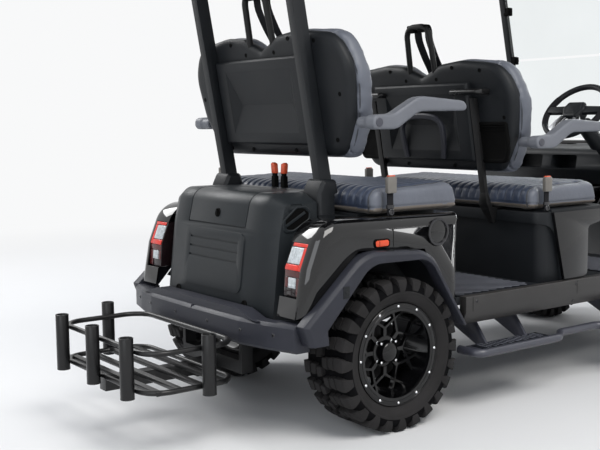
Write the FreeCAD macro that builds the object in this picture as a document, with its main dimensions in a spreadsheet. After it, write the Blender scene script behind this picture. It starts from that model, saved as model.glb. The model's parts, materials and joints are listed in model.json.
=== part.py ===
import FreeCAD, Part
import math
import os
import Sketcher

# Lifted four-seat golf cart with two forward-facing bench seats and a rear cargo rack.
# Lengths are millimetres. +Z is up, the front faces -Y and the cart's left side is +X.
# The origin is on the ground, under the middle of the whole vehicle.

doc = FreeCAD.newDocument("golf_cart")
sheet = doc.addObject("Spreadsheet::Sheet", "Sizes")

# Driving dimensions: alias, value, meaning
SIZES = (
    ("wheelbase", 2170, "rear axle to front axle"),
    ("front_overhang", 500, "front axle to the front bumper's face"),
    ("track", 1044, "between the two wheels' centre planes"),
    ("tyre_od", 580, "over the lugs"),
    ("tyre_width", 240, "over the sidewalls"),
    ("lug_height", 22, "lug above the carcass"),
    ("lug_length", 45, "lug along the tread"),
    ("lug_edge", 4, "lug above the carcass at the tyre's side"),
    ("lug_slope", 26, "lug's sloping outer end across the tread"),
    ("sidewall_top", 48, "sidewall's hollow below the crown"),
    ("flange_od", 386, "rim lip"),
    ("rim_width", 190, "over the rim lips"),
    ("flange_wall", 8, "rim lip thickness"),
    ("barrel_od", 344, "rim barrel outside"),
    ("barrel_wall", 7, "rim barrel thickness"),
    ("dish", 75, "lip plane to spoke face"),
    ("spoke_depth", 20, "spoke thickness along the axle"),
    ("spoke_width", 9, "spoke bar width"),
    ("hub_od", 118, "wheel centre disc"),
    ("hub_bore", 64, "wheel centre bore"),
    ("cap_length", 24, "hub cap beyond the spoke face"),
    ("bead_gap", 0.3, "tyre to rim"),
    ("pin_gap", 0.3, "running clearance at shafts"),
    ("drum_od", 220, "brake drum"),
    ("drum_width", 50, "brake drum along the axle"),
    ("axle_tube_od", 70, "axle beams"),
    ("spindle_od", 63.4, "hub spindle in the wheel bore"),
    ("kingpin_inset", 82, "kingpin inside the front wheel's centre plane"),
    ("kingpin_od", 24, "kingpin"),
    ("kingpin_boss_od", 56, "boss at the front beam's end"),
    ("kingpin_boss_height", 96, "boss at the front beam's end"),
    ("ear_thickness", 16, "knuckle ears"),
    ("steer_arm", 80, "kingpin to tie rod end"),
    ("tie_rod_od", 20, "tie rod"),
    ("rail_x", 180, "frame rail inner face from the middle plane"),
    ("rail_width", 60, "frame rail"),
    ("rail_height", 70, "frame rail"),
    ("frame_top", 430, "top of the frame rails above ground"),
    ("frame_nose", 449.7, "frame rails ahead of the front axle"),
    ("frame_tail", 442, "frame rails behind the rear axle"),
    ("damper_x", 138, "front damper from the middle plane"),
    ("tower_height", 600, "front damper tower above ground"),
    ("floor_thickness", 30, "floor pan"),
    ("body_half", 600, "body side from the middle plane"),
    ("skin", 6, "moulded body panel thickness"),
    ("sill_top", 466, "rocker top above ground"),
    ("sill_break", 402, "rocker bevel line above ground"),
    ("sill_bottom", 353, "rocker bottom above ground"),
    ("sill_out", 20, "rocker face beyond the body side"),
    ("sill_bevel", 26, "how far the rocker's lower edge tucks in"),
    ("rear_pod_front", 345, "rear seat pod's front face ahead of the rear axle"),
    ("seat_deck", 798, "rear seat pod's top above ground"),
    ("wheelhouse_gap", 17, "rear tyre to the inner wheel house wall"),
    ("fender_span", 150, "rear fender across"),
    ("fender_round", 46, "rear fender's outer edge radius"),
    ("flare_span", 44, "wheel arch flare beyond the body side"),
    ("arch_rise", 93, "top of a wheel arch flare above the tyre"),
    ("liner_rise", 66, "wheel arch liner above the tyre"),
    ("seat_pitch", 880, "rear seat to front seat"),
    ("pod_rear", 830, "front seat base's rear face ahead of the rear axle"),
    ("pod_front", 1128, "front seat base's front wall ahead of the rear axle"),
    ("pod_lip", 1290, "front seat deck's front edge ahead of the rear axle"),
    ("pod_round", 60, "front seat base's rear corner radius"),
    ("pod_reveal", 16, "how far the front seat base's arched lower part is set in"),
    ("front_seat_drop", 35, "front cushion below the rear cushion"),
    ("front_back_drop", 90, "front seat back below the rear seat back"),
    ("cushion_inset", 35, "seat cushion's end inside the body side"),
    ("cushion_front", 397, "rear cushion's front edge ahead of the rear axle"),
    ("cushion_depth", 474, "seat cushion front to rear"),
    ("tray_height", 10, "rear cushion's underside above the seat deck"),
    ("cushion_height", 110, "seat cushion thickness"),
    ("seat_gap", 0.3, "between pieces that rest on each other"),
    ("strut_inset", 57, "roof strut inside the storage housing's side"),
    ("strut_foot", 128, "roof strut's foot behind the rear axle"),
    ("strut_foot_rise", 47, "strut's foot housing above the storage housing"),
    ("strut_lean", 0.18, "rearward run of strut and seat back per rise"),
    ("strut_width", 40, "roof strut across"),
    ("strut_depth", 56, "roof strut front to rear"),
    ("headroom", 325, "belt hoop's top to the roof's underside"),
    ("roof_thickness", 62, "roof canopy at its crown"),
    ("roof_skin", 9, "roof canopy's moulding"),
    ("stay_inset", 8, "front seat back's stays inside the roof struts"),
    ("stay_width", 30, "front seat back's stays across"),
    ("stay_depth", 20, "front seat back's stays front to rear"),
    ("roof_inset", 15, "roof's side inside the body side"),
    ("roof_lip", 59, "roof's front edge ahead of the front pillar"),
    ("roof_rear", 440, "roof's rear edge behind the rear axle"),
    ("back_gap", 82, "seat back's lower edge above the cushion"),
    ("back_height", 520, "seat back along its slope"),
    ("back_inset", 35, "seat back's side inside the body side"),
    ("shell_thickness", 42, "seat back's moulded rear shell"),
    ("shell_box", 28, "raised box behind the seat back's shell"),
    ("pad_thickness", 76, "seat back's padding"),
    ("bustle_bevel", 80, "storage housing's bevelled corners across"),
    ("bevel_depth", 36, "storage housing's bevelled corners front to rear"),
    ("bustle_front", 112, "storage housing's front wall behind the rear axle"),
    ("bustle_rise", 92, "storage housing's top above the seat deck"),
    ("bustle_bottom", 430.3, "storage housing's floor above ground"),
    ("hatch_half", 205, "storage lid half width"),
    ("hatch_gap", 5, "gap round the storage lid"),
    ("rack_row", 938, "rear row of rod holders behind the rear axle"),
    ("holder_od", 50, "rod holder tube"),
    ("holder_wall", 3, "rod holder tube wall"),
    ("holder_bottom", 212, "rod holder's lower end above ground"),
    ("holder_top", 424, "rod holder's upper end above ground"),
    ("holder_pitch", 270, "between rod holders in the rear row"),
    ("side_holder_y", 685, "side rod holders behind the rear axle"),
    ("rack_half", 361, "rack rail centre from the middle plane"),
    ("rack_front", 545, "rack's front rail behind the rear axle"),
    ("rack_corner", 88, "rack rail corner radius"),
    ("rail_low", 235, "rack's lower rail above ground"),
    ("rail_high", 372, "rack's upper rail above ground"),
    ("rack_tube", 20, "rack rail diameter"),
    ("hitch_bar", 50, "square hitch bar"),
    ("receiver_wall", 6, "hitch receiver wall"),
    ("step_reach", 50, "step rail centre beyond the body side"),
    ("step_height", 238, "step rail above ground"),
    ("step_tube", 34, "step rail diameter"),
    ("arm_width", 52, "armrest width"),
    ("arm_pin_od", 44, "armrest collar"),
    ("arm_pin_depth", 50, "armrest collar inside the seat back's widest line"),
    ("arm_pivot_rise", 150, "armrest pivot above the seat back's lower edge"),
    ("steer_x", -270, "steering column from the middle plane, on the right side"),
    ("wheel_centre_y", 1445, "steering wheel centre ahead of the rear axle"),
    ("wheel_centre_z", 1190, "steering wheel centre above ground"),
    ("column_tilt", 42, "steering column above level, degrees"),
    ("column_od", 44, "steering column tube"),
    ("steering_od", 340, "steering wheel"),
    ("pillar_foot", 2000, "front pillar's foot ahead of the rear axle"),
    ("pillar_foot_z", 1050, "front pillar's foot above ground"),
    ("pillar_lean", 0.213, "rearward run of the pillar per rise"),
    ("pillar_inset", 60, "front pillar inside the body side"),
    ("hoop_level", 320, "belt hoop's feet above the seat back's lower edge"),
    ("hoop_rise", 340, "belt hoop above its feet"),
    ("hoop_tube", 26, "belt hoop tube"),
    ("screen_fold", 1482, "fold line of the windscreen above ground"),
)


class Size:
    """A dimension: its value, and the spreadsheet expression that gives it."""

    def __init__(self, value, text=None):
        self.value = float(value)
        self.text = text if text is not None else repr(float(value))

    def combine(self, other, sign, value):
        return Size(value, "(" + self.text + " " + sign + " " + other.text + ")")

    def __add__(self, other):
        other = sized(other)
        return self.combine(other, "+", self.value + other.value)

    def __sub__(self, other):
        other = sized(other)
        return self.combine(other, "-", self.value - other.value)

    def __mul__(self, other):
        other = sized(other)
        return self.combine(other, "*", self.value * other.value)

    def __truediv__(self, other):
        other = sized(other)
        return self.combine(other, "/", self.value / other.value)

    def __radd__(self, other):
        return sized(other) + self

    def __rsub__(self, other):
        return sized(other) - self

    def __rmul__(self, other):
        return sized(other) * self

    def __neg__(self):
        return Size(-self.value, "(0 - " + self.text + ")")

    def __float__(self):
        return self.value


def sized(number):
    return number if isinstance(number, Size) else Size(number)


class Dimensions:
    """The named dimensions of the cart, one attribute for each row of the sheet."""


dim = Dimensions()
for row, (alias, value, meaning) in enumerate(SIZES, 1):
    sheet.set("A%d" % row, alias)
    sheet.set("B%d" % row, str(value))
    sheet.set("C%d" % row, meaning)
    sheet.setAlias("B%d" % row, alias)
    setattr(dim, alias, Size(value, "Sizes." + alias))
doc.recompute()

NODES = {}


def bind(thing, prop, size):
    thing.setExpression(prop, sized(size).text)


def vector(x, y, z):
    return FreeCAD.Vector(float(x), float(y), float(z))


def place(thing, x, y, z):
    """Put an object at a point that follows the sheet."""
    thing.Placement.Base = vector(x, y, z)
    bind(thing, "Placement.Base.x", x)
    bind(thing, "Placement.Base.y", y)
    bind(thing, "Placement.Base.z", z)


def node(label, thing):
    """Make an object one named sub-part of the cart."""
    thing.Label = label
    NODES[label] = thing
    return thing


def box(name, x, y, z):
    """Block between the low and high values in the pairs x, y and z."""
    block = doc.addObject("Part::Box", name)
    for prop, (low, high) in zip(("Length", "Width", "Height"), (x, y, z)):
        bind(block, prop, sized(high) - low)
    place(block, x[0], y[0], z[0])
    return block


TURNS = {
    "X": FreeCAD.Rotation(FreeCAD.Vector(0, 1, 0), 90),
    "Y": FreeCAD.Rotation(FreeCAD.Vector(1, 0, 0), -90),
    "Z": FreeCAD.Rotation(),
}


def cylinder(name, axis, radius, start, length):
    """Round bar from the point start, along +X, +Y or +Z."""
    bar = doc.addObject("Part::Cylinder", name)
    bind(bar, "Radius", radius)
    bind(bar, "Height", length)
    bar.Placement = FreeCAD.Placement(FreeCAD.Vector(), TURNS[axis])
    place(bar, *start)
    return bar


def cut(name, base, tool):
    result = doc.addObject("Part::Cut", name)
    result.Base = base
    result.Tool = tool
    return result


def fuse(name, *shapes):
    result = doc.addObject("Part::MultiFuse", name)
    result.Shapes = list(shapes)
    result.Refine = True
    return result


def common(name, *shapes):
    result = doc.addObject("Part::MultiCommon", name)
    result.Shapes = list(shapes)
    return result


def mirrored(name, source):
    """The same piece on the other side of the middle plane."""
    twin = doc.addObject("Part::Mirroring", name)
    twin.Source = source
    twin.Normal = FreeCAD.Vector(1, 0, 0)
    return twin


def group(name, *pieces):
    """Separate solids of one sub-part."""
    result = doc.addObject("Part::Compound", name)
    result.Links = list(pieces)
    return result


def pair(name, piece):
    return group(name, piece, mirrored(name + "Twin", piece))


def origin_plane(body, role):
    return [feature for feature in body.Origin.OriginFeatures if feature.Role == role][0]


def corner_radius(corner):
    return corner[2] if len(corner) > 2 else None


def sketch_outline(sketch, corners):
    """Closed outline through the corners (u, v) or (u, v, radius), fully constrained."""
    count = len(corners)
    points = [vector(u, v, 0) for u, v in (corner[:2] for corner in corners)]
    trims = []
    for i, corner in enumerate(corners):
        radius = corner_radius(corner)
        if radius is None:
            trims.append(0.0)
            continue
        before = (points[i - 1] - points[i]).normalize()
        after = (points[(i + 1) % count] - points[i]).normalize()
        half = before.getAngle(after) / 2
        trims.append(float(radius) / math.tan(half))
    lines = []
    for i in range(count):
        j = (i + 1) % count
        along = (points[j] - points[i]).normalize()
        start = points[i] + along * trims[i]
        end = points[j] - along * trims[j]
        lines.append(sketch.addGeometry(Part.LineSegment(start, end), False))
    for i, corner in enumerate(corners):
        into, out = lines[i - 1], lines[i]
        radius = corner_radius(corner)
        u, v = sized(corner[0]), sized(corner[1])
        if radius is None:
            sketch.addConstraint(Sketcher.Constraint("Coincident", into, 2, out, 1))
            fix_point(sketch, out, u, v)
            continue
        before = (points[i - 1] - points[i]).normalize()
        after = (points[(i + 1) % count] - points[i]).normalize()
        first = points[i] + before * trims[i]
        last = points[i] + after * trims[i]
        half = before.getAngle(after) / 2
        centre = points[i] + (before + after).normalize() * (float(radius) / math.sin(half))
        middle = centre + (points[i] - centre).normalize() * float(radius)
        arc = sketch.addGeometry(Part.Arc(first, middle, last), False)
        arc_start = sketch.getPoint(arc, 1)
        ends = (1, 2) if arc_start.distanceToPoint(first) < arc_start.distanceToPoint(last) else (2, 1)
        sketch.addConstraint(Sketcher.Constraint("Tangent", into, 2, arc, ends[0]))
        sketch.addConstraint(Sketcher.Constraint("Tangent", arc, ends[1], out, 1))
        number = sketch.addConstraint(Sketcher.Constraint("Radius", arc, float(radius)))
        bind(sketch, "Constraints[%d]" % number, radius)
        mark = sketch.addGeometry(Part.Point(points[i]), True)
        sketch.addConstraint(Sketcher.Constraint("PointOnObject", mark, 1, into))
        sketch.addConstraint(Sketcher.Constraint("PointOnObject", mark, 1, out))
        fix_point(sketch, mark, u, v)


def fix_point(sketch, geometry, u, v):
    """Hold a point of a sketch at its distances from the sketch's origin."""
    for kind, size in (("DistanceX", u), ("DistanceY", v)):
        number = sketch.addConstraint(Sketcher.Constraint(kind, -1, 1, geometry, 1, size.value))
        bind(sketch, "Constraints[%d]" % number, size)


# Sketch plane: origin plane, and the sign of world distance along the plane's normal
PLANES = {"YZ": ("YZ_Plane", 1), "XZ": ("XZ_Plane", -1), "XY": ("XY_Plane", 1)}


def sketch_on(body, name, plane, level):
    """Sketch on an origin plane of the body, moved to a level along the world axis."""
    role, sign = PLANES[plane]
    sketch = body.newObject("Sketcher::SketchObject", name)
    sketch.AttachmentSupport = [(origin_plane(body, role), "")]
    sketch.MapMode = "FlatFace"
    bind(sketch, "AttachmentOffset.Base.z", sized(level) * sign)
    return sketch


def padded(name, plane, corners, low, high):
    """Body made by one outline, from the level low to the level high."""
    body = doc.addObject("PartDesign::Body", name)
    start = high if plane == "XZ" else low
    sketch = sketch_on(body, name + "Outline", plane, start)
    sketch_outline(sketch, corners)
    pad = body.newObject("PartDesign::Pad", name + "Pad")
    pad.Profile = sketch
    bind(pad, "Length", sized(high) - low)
    sketch.Visibility = False
    doc.recompute()
    return body


def turned(name, corners):
    """Body turned about the X axis from a section of corners (x, radius)."""
    body = doc.addObject("PartDesign::Body", name)
    sketch = sketch_on(body, name + "Section", "XZ", 0)
    sketch_outline(sketch, corners)
    revolution = body.newObject("PartDesign::Revolution", name + "Turn")
    revolution.Profile = sketch
    revolution.ReferenceAxis = (sketch, ["H_Axis"])
    revolution.Angle = 360
    sketch.Visibility = False
    doc.recompute()
    return body


def rounded(name, base, radius, chosen):
    """Fillet on the edges of base that the test chosen accepts."""
    doc.recompute()
    fillet = doc.addObject("Part::Fillet", name)
    fillet.Base = base
    edges = [i for i, edge in enumerate(base.Shape.Edges, 1) if chosen(edge)]
    fillet.Edges = [(i, float(radius), float(radius)) for i in edges]
    doc.recompute()
    return fillet


def rail(name, points, diameter, bend, closed=False):
    """Round bar along straight runs joined by tangent arcs."""
    points = [vector(*point) for point in points]
    count = len(points)
    first = 0 if closed else 1
    last = count if closed else count - 1
    ends = {}
    arcs = {}
    for i in range(first, last):
        before = (points[i - 1] - points[i]).normalize()
        after = (points[(i + 1) % count] - points[i]).normalize()
        half = before.getAngle(after) / 2
        trim = float(bend) / math.tan(half)
        centre = points[i] + (before + after).normalize() * (float(bend) / math.sin(half))
        middle = centre + (points[i] - centre).normalize() * float(bend)
        start, end = points[i] + before * trim, points[i] + after * trim
        ends[i] = (start, end)
        arcs[i] = Part.Arc(start, middle, end).toShape()
    edges = []
    for i in range(count if closed else count - 1):
        j = (i + 1) % count
        start = ends[i][1] if i in ends else points[i]
        end = ends[j][0] if j in ends else points[j]
        if start.distanceToPoint(end) > 0.01:
            edges.append(Part.LineSegment(start, end).toShape())
        if j in arcs:
            edges.append(arcs[j])
    path = Part.Wire(Part.__sortEdges__(edges))
    edge = path.OrderedEdges[0]
    begin = edge.valueAt(edge.FirstParameter)
    along = edge.tangentAt(edge.FirstParameter)
    ring = Part.Wire(Part.makeCircle(float(diameter) / 2, begin, along))
    bar = doc.addObject("Part::Feature", name)
    bar.Shape = path.makePipeShell([ring], True, False)
    return bar


def copy_of(name, source, placement):
    """Another piece of the same form, in its own place."""
    twin = doc.addObject("Part::Compound", name)
    twin.Links = [source]
    twin.Placement = placement
    return twin


# Places worked out from the sizes
axle_z = dim.tyre_od / 2
rear_reach = dim.rack_row + dim.holder_od / 2
rear_axle_y = (dim.wheelbase + dim.front_overhang - rear_reach) / 2
front_axle_y = rear_axle_y - dim.wheelbase
wheel_x = dim.track / 2
frame_bottom = dim.frame_top - dim.rail_height
floor_top = dim.frame_top + dim.floor_thickness
wall_front = dim.pillar_foot - 100
rail_out = dim.rail_x + dim.rail_width
dim.kingpin_x = wheel_x - dim.kingpin_inset
dim.wheelhouse_half = wheel_x - dim.tyre_width / 2 - dim.wheelhouse_gap
dim.bustle_half = dim.wheelhouse_half
dim.strut_x = dim.bustle_half - dim.strut_inset
dim.stay_x = dim.strut_x - dim.stay_inset
dim.sill_half = dim.body_half + dim.sill_out
dim.fender_inner = dim.body_half - dim.fender_span
dim.flare_out = dim.body_half + dim.flare_span
dim.cushion_half = dim.body_half - dim.cushion_inset
dim.back_half = dim.body_half - dim.back_inset
dim.roof_half = dim.body_half - dim.roof_inset
dim.pillar_x = dim.body_half - dim.pillar_inset
dim.step_out = dim.body_half + dim.step_reach
dim.cushion_bottom = dim.seat_deck + dim.tray_height
dim.back_bottom = dim.cushion_bottom + dim.cushion_height + dim.back_gap
dim.bustle_top = dim.seat_deck + dim.bustle_rise
dim.strut_foot_height = dim.bustle_top + dim.strut_foot_rise
dim.roof_bottom = dim.back_bottom + dim.hoop_level + dim.hoop_rise + dim.headroom


def aft(distance):
    """Y at a distance behind the rear axle."""
    return rear_axle_y + distance


def fore(distance):
    """Y at a distance ahead of the rear axle."""
    return rear_axle_y - distance


def ahead(distance):
    """Y at a distance ahead of the front axle."""
    return front_axle_y - distance


# Tyre with two staggered rows of lugs
LUGS_PER_ROW = 24


def lug_ring(x, tip_r, root_r, phase):
    """Corners of a lug row's toothed outline at a distance x from the tyre's middle plane."""
    half = float(dim.lug_length) / 2
    points = []
    for k in range(LUGS_PER_ROW):
        turn = FreeCAD.Rotation(FreeCAD.Vector(1, 0, 0), 360.0 / LUGS_PER_ROW * (k + phase))
        for t, radius in ((half, root_r), (half, tip_r), (-half, tip_r), (-half, root_r)):
            points.append(turn.multVec(vector(x, t, radius)))
    return points


def side_ring(x, radius, phase, flats):
    """Corners of a plain outline of the tyre with a number of flats."""
    corner_r = float(radius) / math.cos(math.pi / flats)
    points = []
    for k in range(flats):
        turn = FreeCAD.Rotation(FreeCAD.Vector(1, 0, 0), 360.0 / flats * (k + phase + 0.5))
        points.append(turn.multVec(vector(x, 0, corner_r)))
    return points


def flat_face(corners):
    return Part.Face(Part.makePolygon(corners + corners[:1]))


def flat_sided(name, rings):
    """Solid with flat faces between rings that have the same number of corners."""
    faces = [flat_face(rings[0]), flat_face(rings[-1])]
    for near, far in zip(rings, rings[1:]):
        for i in range(len(near)):
            faces.append(flat_face([near[i - 1], near[i], far[i], far[i - 1]]))
    solid = Part.makeSolid(Part.makeShell(faces))
    if solid.Volume < 0:
        solid.reverse()
    block = doc.addObject("Part::Feature", name)
    block.Shape = solid
    return block


def make_tyre():
    half = dim.tyre_width / 2
    crown_r, root_r = axle_z, axle_z - dim.lug_height
    bead_r = dim.flange_od / 2 + dim.bead_gap
    bore_r = dim.barrel_od / 2 + dim.bead_gap
    seat = dim.rim_width / 2 - dim.flange_wall - dim.bead_gap
    rows, hollows = [], []
    for side, phase in ((1, 0.0), (-1, 0.5)):
        sections = ((0, crown_r), (half - dim.lug_slope, crown_r), (half, root_r + dim.lug_edge))
        rings = [lug_ring(x * side, tip_r, root_r, phase) for x, tip_r in sections]
        rows.append(flat_sided("LugRow", rings))
        walls = ((seat, bead_r + 1), (half + 2, crown_r - dim.sidewall_top))
        rings = [side_ring(x * side, radius, phase, LUGS_PER_ROW) for x, radius in walls]
        hollows.append(flat_sided("SidewallHollow", rings))
    rings = [side_ring(x, bore_r, 0.0, LUGS_PER_ROW // 2) for x in (-half, half)]
    hollows.append(flat_sided("TyreBore", rings))
    return cut("TyreMaster", fuse("TyreRows", *rows), fuse("TyreHollow", *hollows))


SPOKES = 8


def bar_between(name, start, end, width, low, high):
    """Flat bar on the YZ plane between two polar points (radius, degrees)."""
    points = []
    for radius, angle in (start, end):
        turn = math.radians(angle)
        points.append(vector(0, float(radius) * math.sin(turn), float(radius) * math.cos(turn)))
    along = points[1] - points[0]
    bar = doc.addObject("Part::Box", name)
    bind(bar, "Length", sized(high) - low)
    bind(bar, "Width", width)
    bind(bar, "Height", along.Length)
    tilt = math.degrees(math.atan2(-along.y, along.z))
    turn = FreeCAD.Rotation(FreeCAD.Vector(1, 0, 0), tilt)
    corner = vector(low, -sized(width) / 2, 0)
    start_place = FreeCAD.Placement(points[0], turn)
    bar.Placement = start_place.multiply(FreeCAD.Placement(corner, FreeCAD.Rotation()))
    return bar


def make_rim():
    lip = dim.rim_width / 2
    outer_r = dim.barrel_od / 2
    inner_r = outer_r - dim.barrel_wall
    flange_r = dim.flange_od / 2
    corners = [
        (lip, inner_r - 2),
        (lip, flange_r),
        (lip - dim.flange_wall, flange_r),
        (lip - dim.flange_wall, outer_r),
        (-lip + dim.flange_wall, outer_r),
        (-lip + dim.flange_wall, flange_r),
        (-lip, flange_r),
        (-lip, inner_r),
        (lip - 16, inner_r),
        (lip - 16, inner_r - 2),
    ]
    barrel = turned("RimBarrel", corners)
    face = lip - dim.dish
    back = face - dim.spoke_depth
    hub_r = dim.hub_od / 2
    bore_r = dim.hub_bore / 2
    hub_corners = [
        (back, bore_r),
        (face, bore_r),
        (face + dim.cap_length, bore_r),
        (face + dim.cap_length, hub_r - 22),
        (face + 2, hub_r - 14),
        (face, hub_r),
        (back, hub_r),
    ]
    hub = turned("RimHub", hub_corners[:1] + hub_corners[2:])
    pitch = 360.0 / SPOKES
    low, high = back + 3, face
    node_in, node_out = 88, 128
    rim_r = inner_r + dim.barrel_wall / 2
    bars = []
    for k in range(SPOKES):
        here = k * pitch
        stem = bar_between("Stem", (hub_r - 8, here), (node_in + 3, here), 15, low, high)
        bars.append(stem)
        for side_sign in (-1, 1):
            beside = here + side_sign * pitch / 2
            inner = bar_between("Branch", (node_in, here), (node_out + 2, beside),
                                dim.spoke_width, low, high)
            outer = bar_between("Fork", (node_out, here + pitch / 2),
                                (rim_r, here + pitch / 2 + side_sign * 11),
                                dim.spoke_width, low, high)
            bars += [inner, outer]
    cap = cylinder("RimCap", "X", bore_r + 6, (face + dim.cap_length, 0, 0), 5)
    return fuse("RimMaster", barrel, hub, cap, *bars)


WHEELS = (
    # name, side, axle
    ("front_left", 1, front_axle_y),
    ("front_right", -1, front_axle_y),
    ("rear_left", 1, rear_axle_y),
    ("rear_right", -1, rear_axle_y),
)


def make_wheels():
    tyre = make_tyre()
    rim = make_rim()
    for name, side, y in WHEELS:
        turn = FreeCAD.Rotation(FreeCAD.Vector(0, 0, 1), 0 if side > 0 else 180)
        for kind, master in (("tyre", tyre), ("rim", rim)):
            piece = copy_of(kind.title() + name, master, FreeCAD.Placement(FreeCAD.Vector(), turn))
            place(piece, wheel_x * side, y, axle_z)
            node(kind + "_" + name, piece)


# Spindles, knuckles and axles
spoke_back = wheel_x + dim.rim_width / 2 - dim.dish - dim.spoke_depth
spindle_end = wheel_x + dim.rim_width / 2 - dim.dish + dim.cap_length - 1


def make_knuckle(side):
    """Forked knuckle, its spindle and the arm that the tie rod turns."""
    name = "Knuckle" + ("Left" if side > 0 else "Right")
    half = dim.kingpin_boss_height / 2
    boss_r = dim.kingpin_boss_od / 2
    upright_in = dim.kingpin_x + boss_r + 6
    upright_out = spoke_back - 14
    ear_gap = 1
    low = axle_z - half - ear_gap - dim.ear_thickness
    high = axle_z + half + ear_gap + dim.ear_thickness
    y_low, y_high = front_axle_y - boss_r, front_axle_y + boss_r
    upright = box(name + "Upright", (upright_in, upright_out), (y_low, y_high), (low, high))
    pieces = [upright]
    for bottom in (low, high - dim.ear_thickness):
        ear = box(name + "Ear", (dim.kingpin_x, upright_in), (y_low, y_high),
                  (bottom, bottom + dim.ear_thickness))
        nose = cylinder(name + "EarNose", "Z", boss_r, (dim.kingpin_x, front_axle_y, bottom),
                        dim.ear_thickness)
        pieces += [ear, nose]
    pin = cylinder(name + "Pin", "Z", dim.kingpin_od / 2 - dim.pin_gap,
                   (dim.kingpin_x, front_axle_y, low), high - low)
    flange = cylinder(name + "Flange", "X", dim.hub_od / 2, (upright_out, front_axle_y, axle_z),
                      spoke_back - upright_out - 0.5)
    spindle = cylinder(name + "Spindle", "X", dim.spindle_od / 2,
                       (upright_out, front_axle_y, axle_z), spindle_end - upright_out)
    arm = box(name + "Arm", (dim.kingpin_x - 14, dim.kingpin_x + 14),
              (front_axle_y, front_axle_y + dim.steer_arm), (low, low + dim.ear_thickness))
    eye = cylinder(name + "Eye", "Z", 20, (dim.kingpin_x, front_axle_y + dim.steer_arm, low),
                   dim.ear_thickness)
    solid = fuse(name, *pieces, pin, flange, spindle, arm, eye)
    if side < 0:
        solid = mirrored(name + "Mirror", solid)
    return node("knuckle_left" if side > 0 else "knuckle_right", solid)


def make_front_axle():
    boss_r = dim.kingpin_boss_od / 2
    half = dim.kingpin_boss_height / 2
    beam = cylinder("FrontBeam", "X", dim.axle_tube_od / 2,
                    (-dim.kingpin_x + boss_r - 8, front_axle_y, axle_z),
                    (dim.kingpin_x - boss_r + 8) * 2)
    pieces = [beam]
    for side in (-1, 1):
        boss = cylinder("FrontBoss", "Z", boss_r, (dim.kingpin_x * side, front_axle_y, axle_z - half),
                        half * 2)
        pieces.append(boss)
    body = fuse("FrontBeamBody", *pieces)
    holes = [cylinder("KingpinBore", "Z", dim.kingpin_od / 2,
                      (dim.kingpin_x * side, front_axle_y, axle_z - half - 1), half * 2 + 2)
             for side in (-1, 1)]
    return node("front_axle", cut("FrontAxle", body, fuse("KingpinBores", *holes)))


def make_rear_axle():
    tube = cylinder("RearTube", "X", dim.axle_tube_od / 2, (-spoke_back + 0.5, rear_axle_y, axle_z),
                    (spoke_back - 0.5) * 2)
    spindle = cylinder("RearSpindles", "X", dim.spindle_od / 2,
                       (-spindle_end, rear_axle_y, axle_z), spindle_end * 2)
    pieces = [tube, spindle]
    for side in (-1, 1):
        inner = spoke_back - 14 - dim.drum_width
        start = inner if side > 0 else -inner - dim.drum_width
        drum = cylinder("Drum", "X", dim.drum_od / 2, (start, rear_axle_y, axle_z), dim.drum_width)
        face = spoke_back - 14 if side > 0 else -spoke_back + 0.5
        flange = cylinder("DrumFace", "X", dim.hub_od / 2, (face, rear_axle_y, axle_z), 13.5)
        pieces += [drum, flange]
    case = doc.addObject("Part::Sphere", "GearCase")
    case.Radius = 88
    place(case, 0, rear_axle_y, axle_z)
    motor = cylinder("Motor", "Y", 84, (70, fore(330), axle_z + 6), 330 - 40)
    return node("rear_axle", fuse("RearAxle", *pieces, case, motor))


def make_springs():
    """Leaf packs over the rear axle, outside the frame rails, with the dampers."""
    x = (rail_out + 12, rail_out + 62)
    seat = axle_z + dim.axle_tube_od / 2
    top = dim.frame_top - 20
    leaf = padded("Leaf", "YZ", [
        (aft(-430), top - 22), (aft(-90), seat), (aft(90), seat), (aft(400), top - 22),
        (aft(400), top), (aft(80), seat + 26), (aft(-80), seat + 26), (aft(-430), top),
    ], x[0], x[1])
    eyes = [cylinder("LeafEye", "X", 22, (rail_out, aft(y), top - 14), 62) for y in (-432, 402)]
    spring = fuse("LeafPack", leaf, *eyes)
    return node("rear_springs", pair("RearSprings", spring))


def make_front_dampers():
    """Coil-over dampers from the front beam up to the towers on the frame."""
    seat = axle_z + dim.axle_tube_od / 2
    top = dim.tower_height - 30
    body = cylinder("DamperBody", "Z", 24, (dim.damper_x, front_axle_y, seat), 130)
    coil = cylinder("DamperCoil", "Z", 36, (dim.damper_x, front_axle_y, seat + 50), top - seat - 70)
    eye = cylinder("DamperTop", "Z", 14, (dim.damper_x, front_axle_y, seat + 100), top - seat - 100)
    return node("front_dampers", pair("FrontDampers", fuse("Damper", body, coil, eye)))


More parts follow.
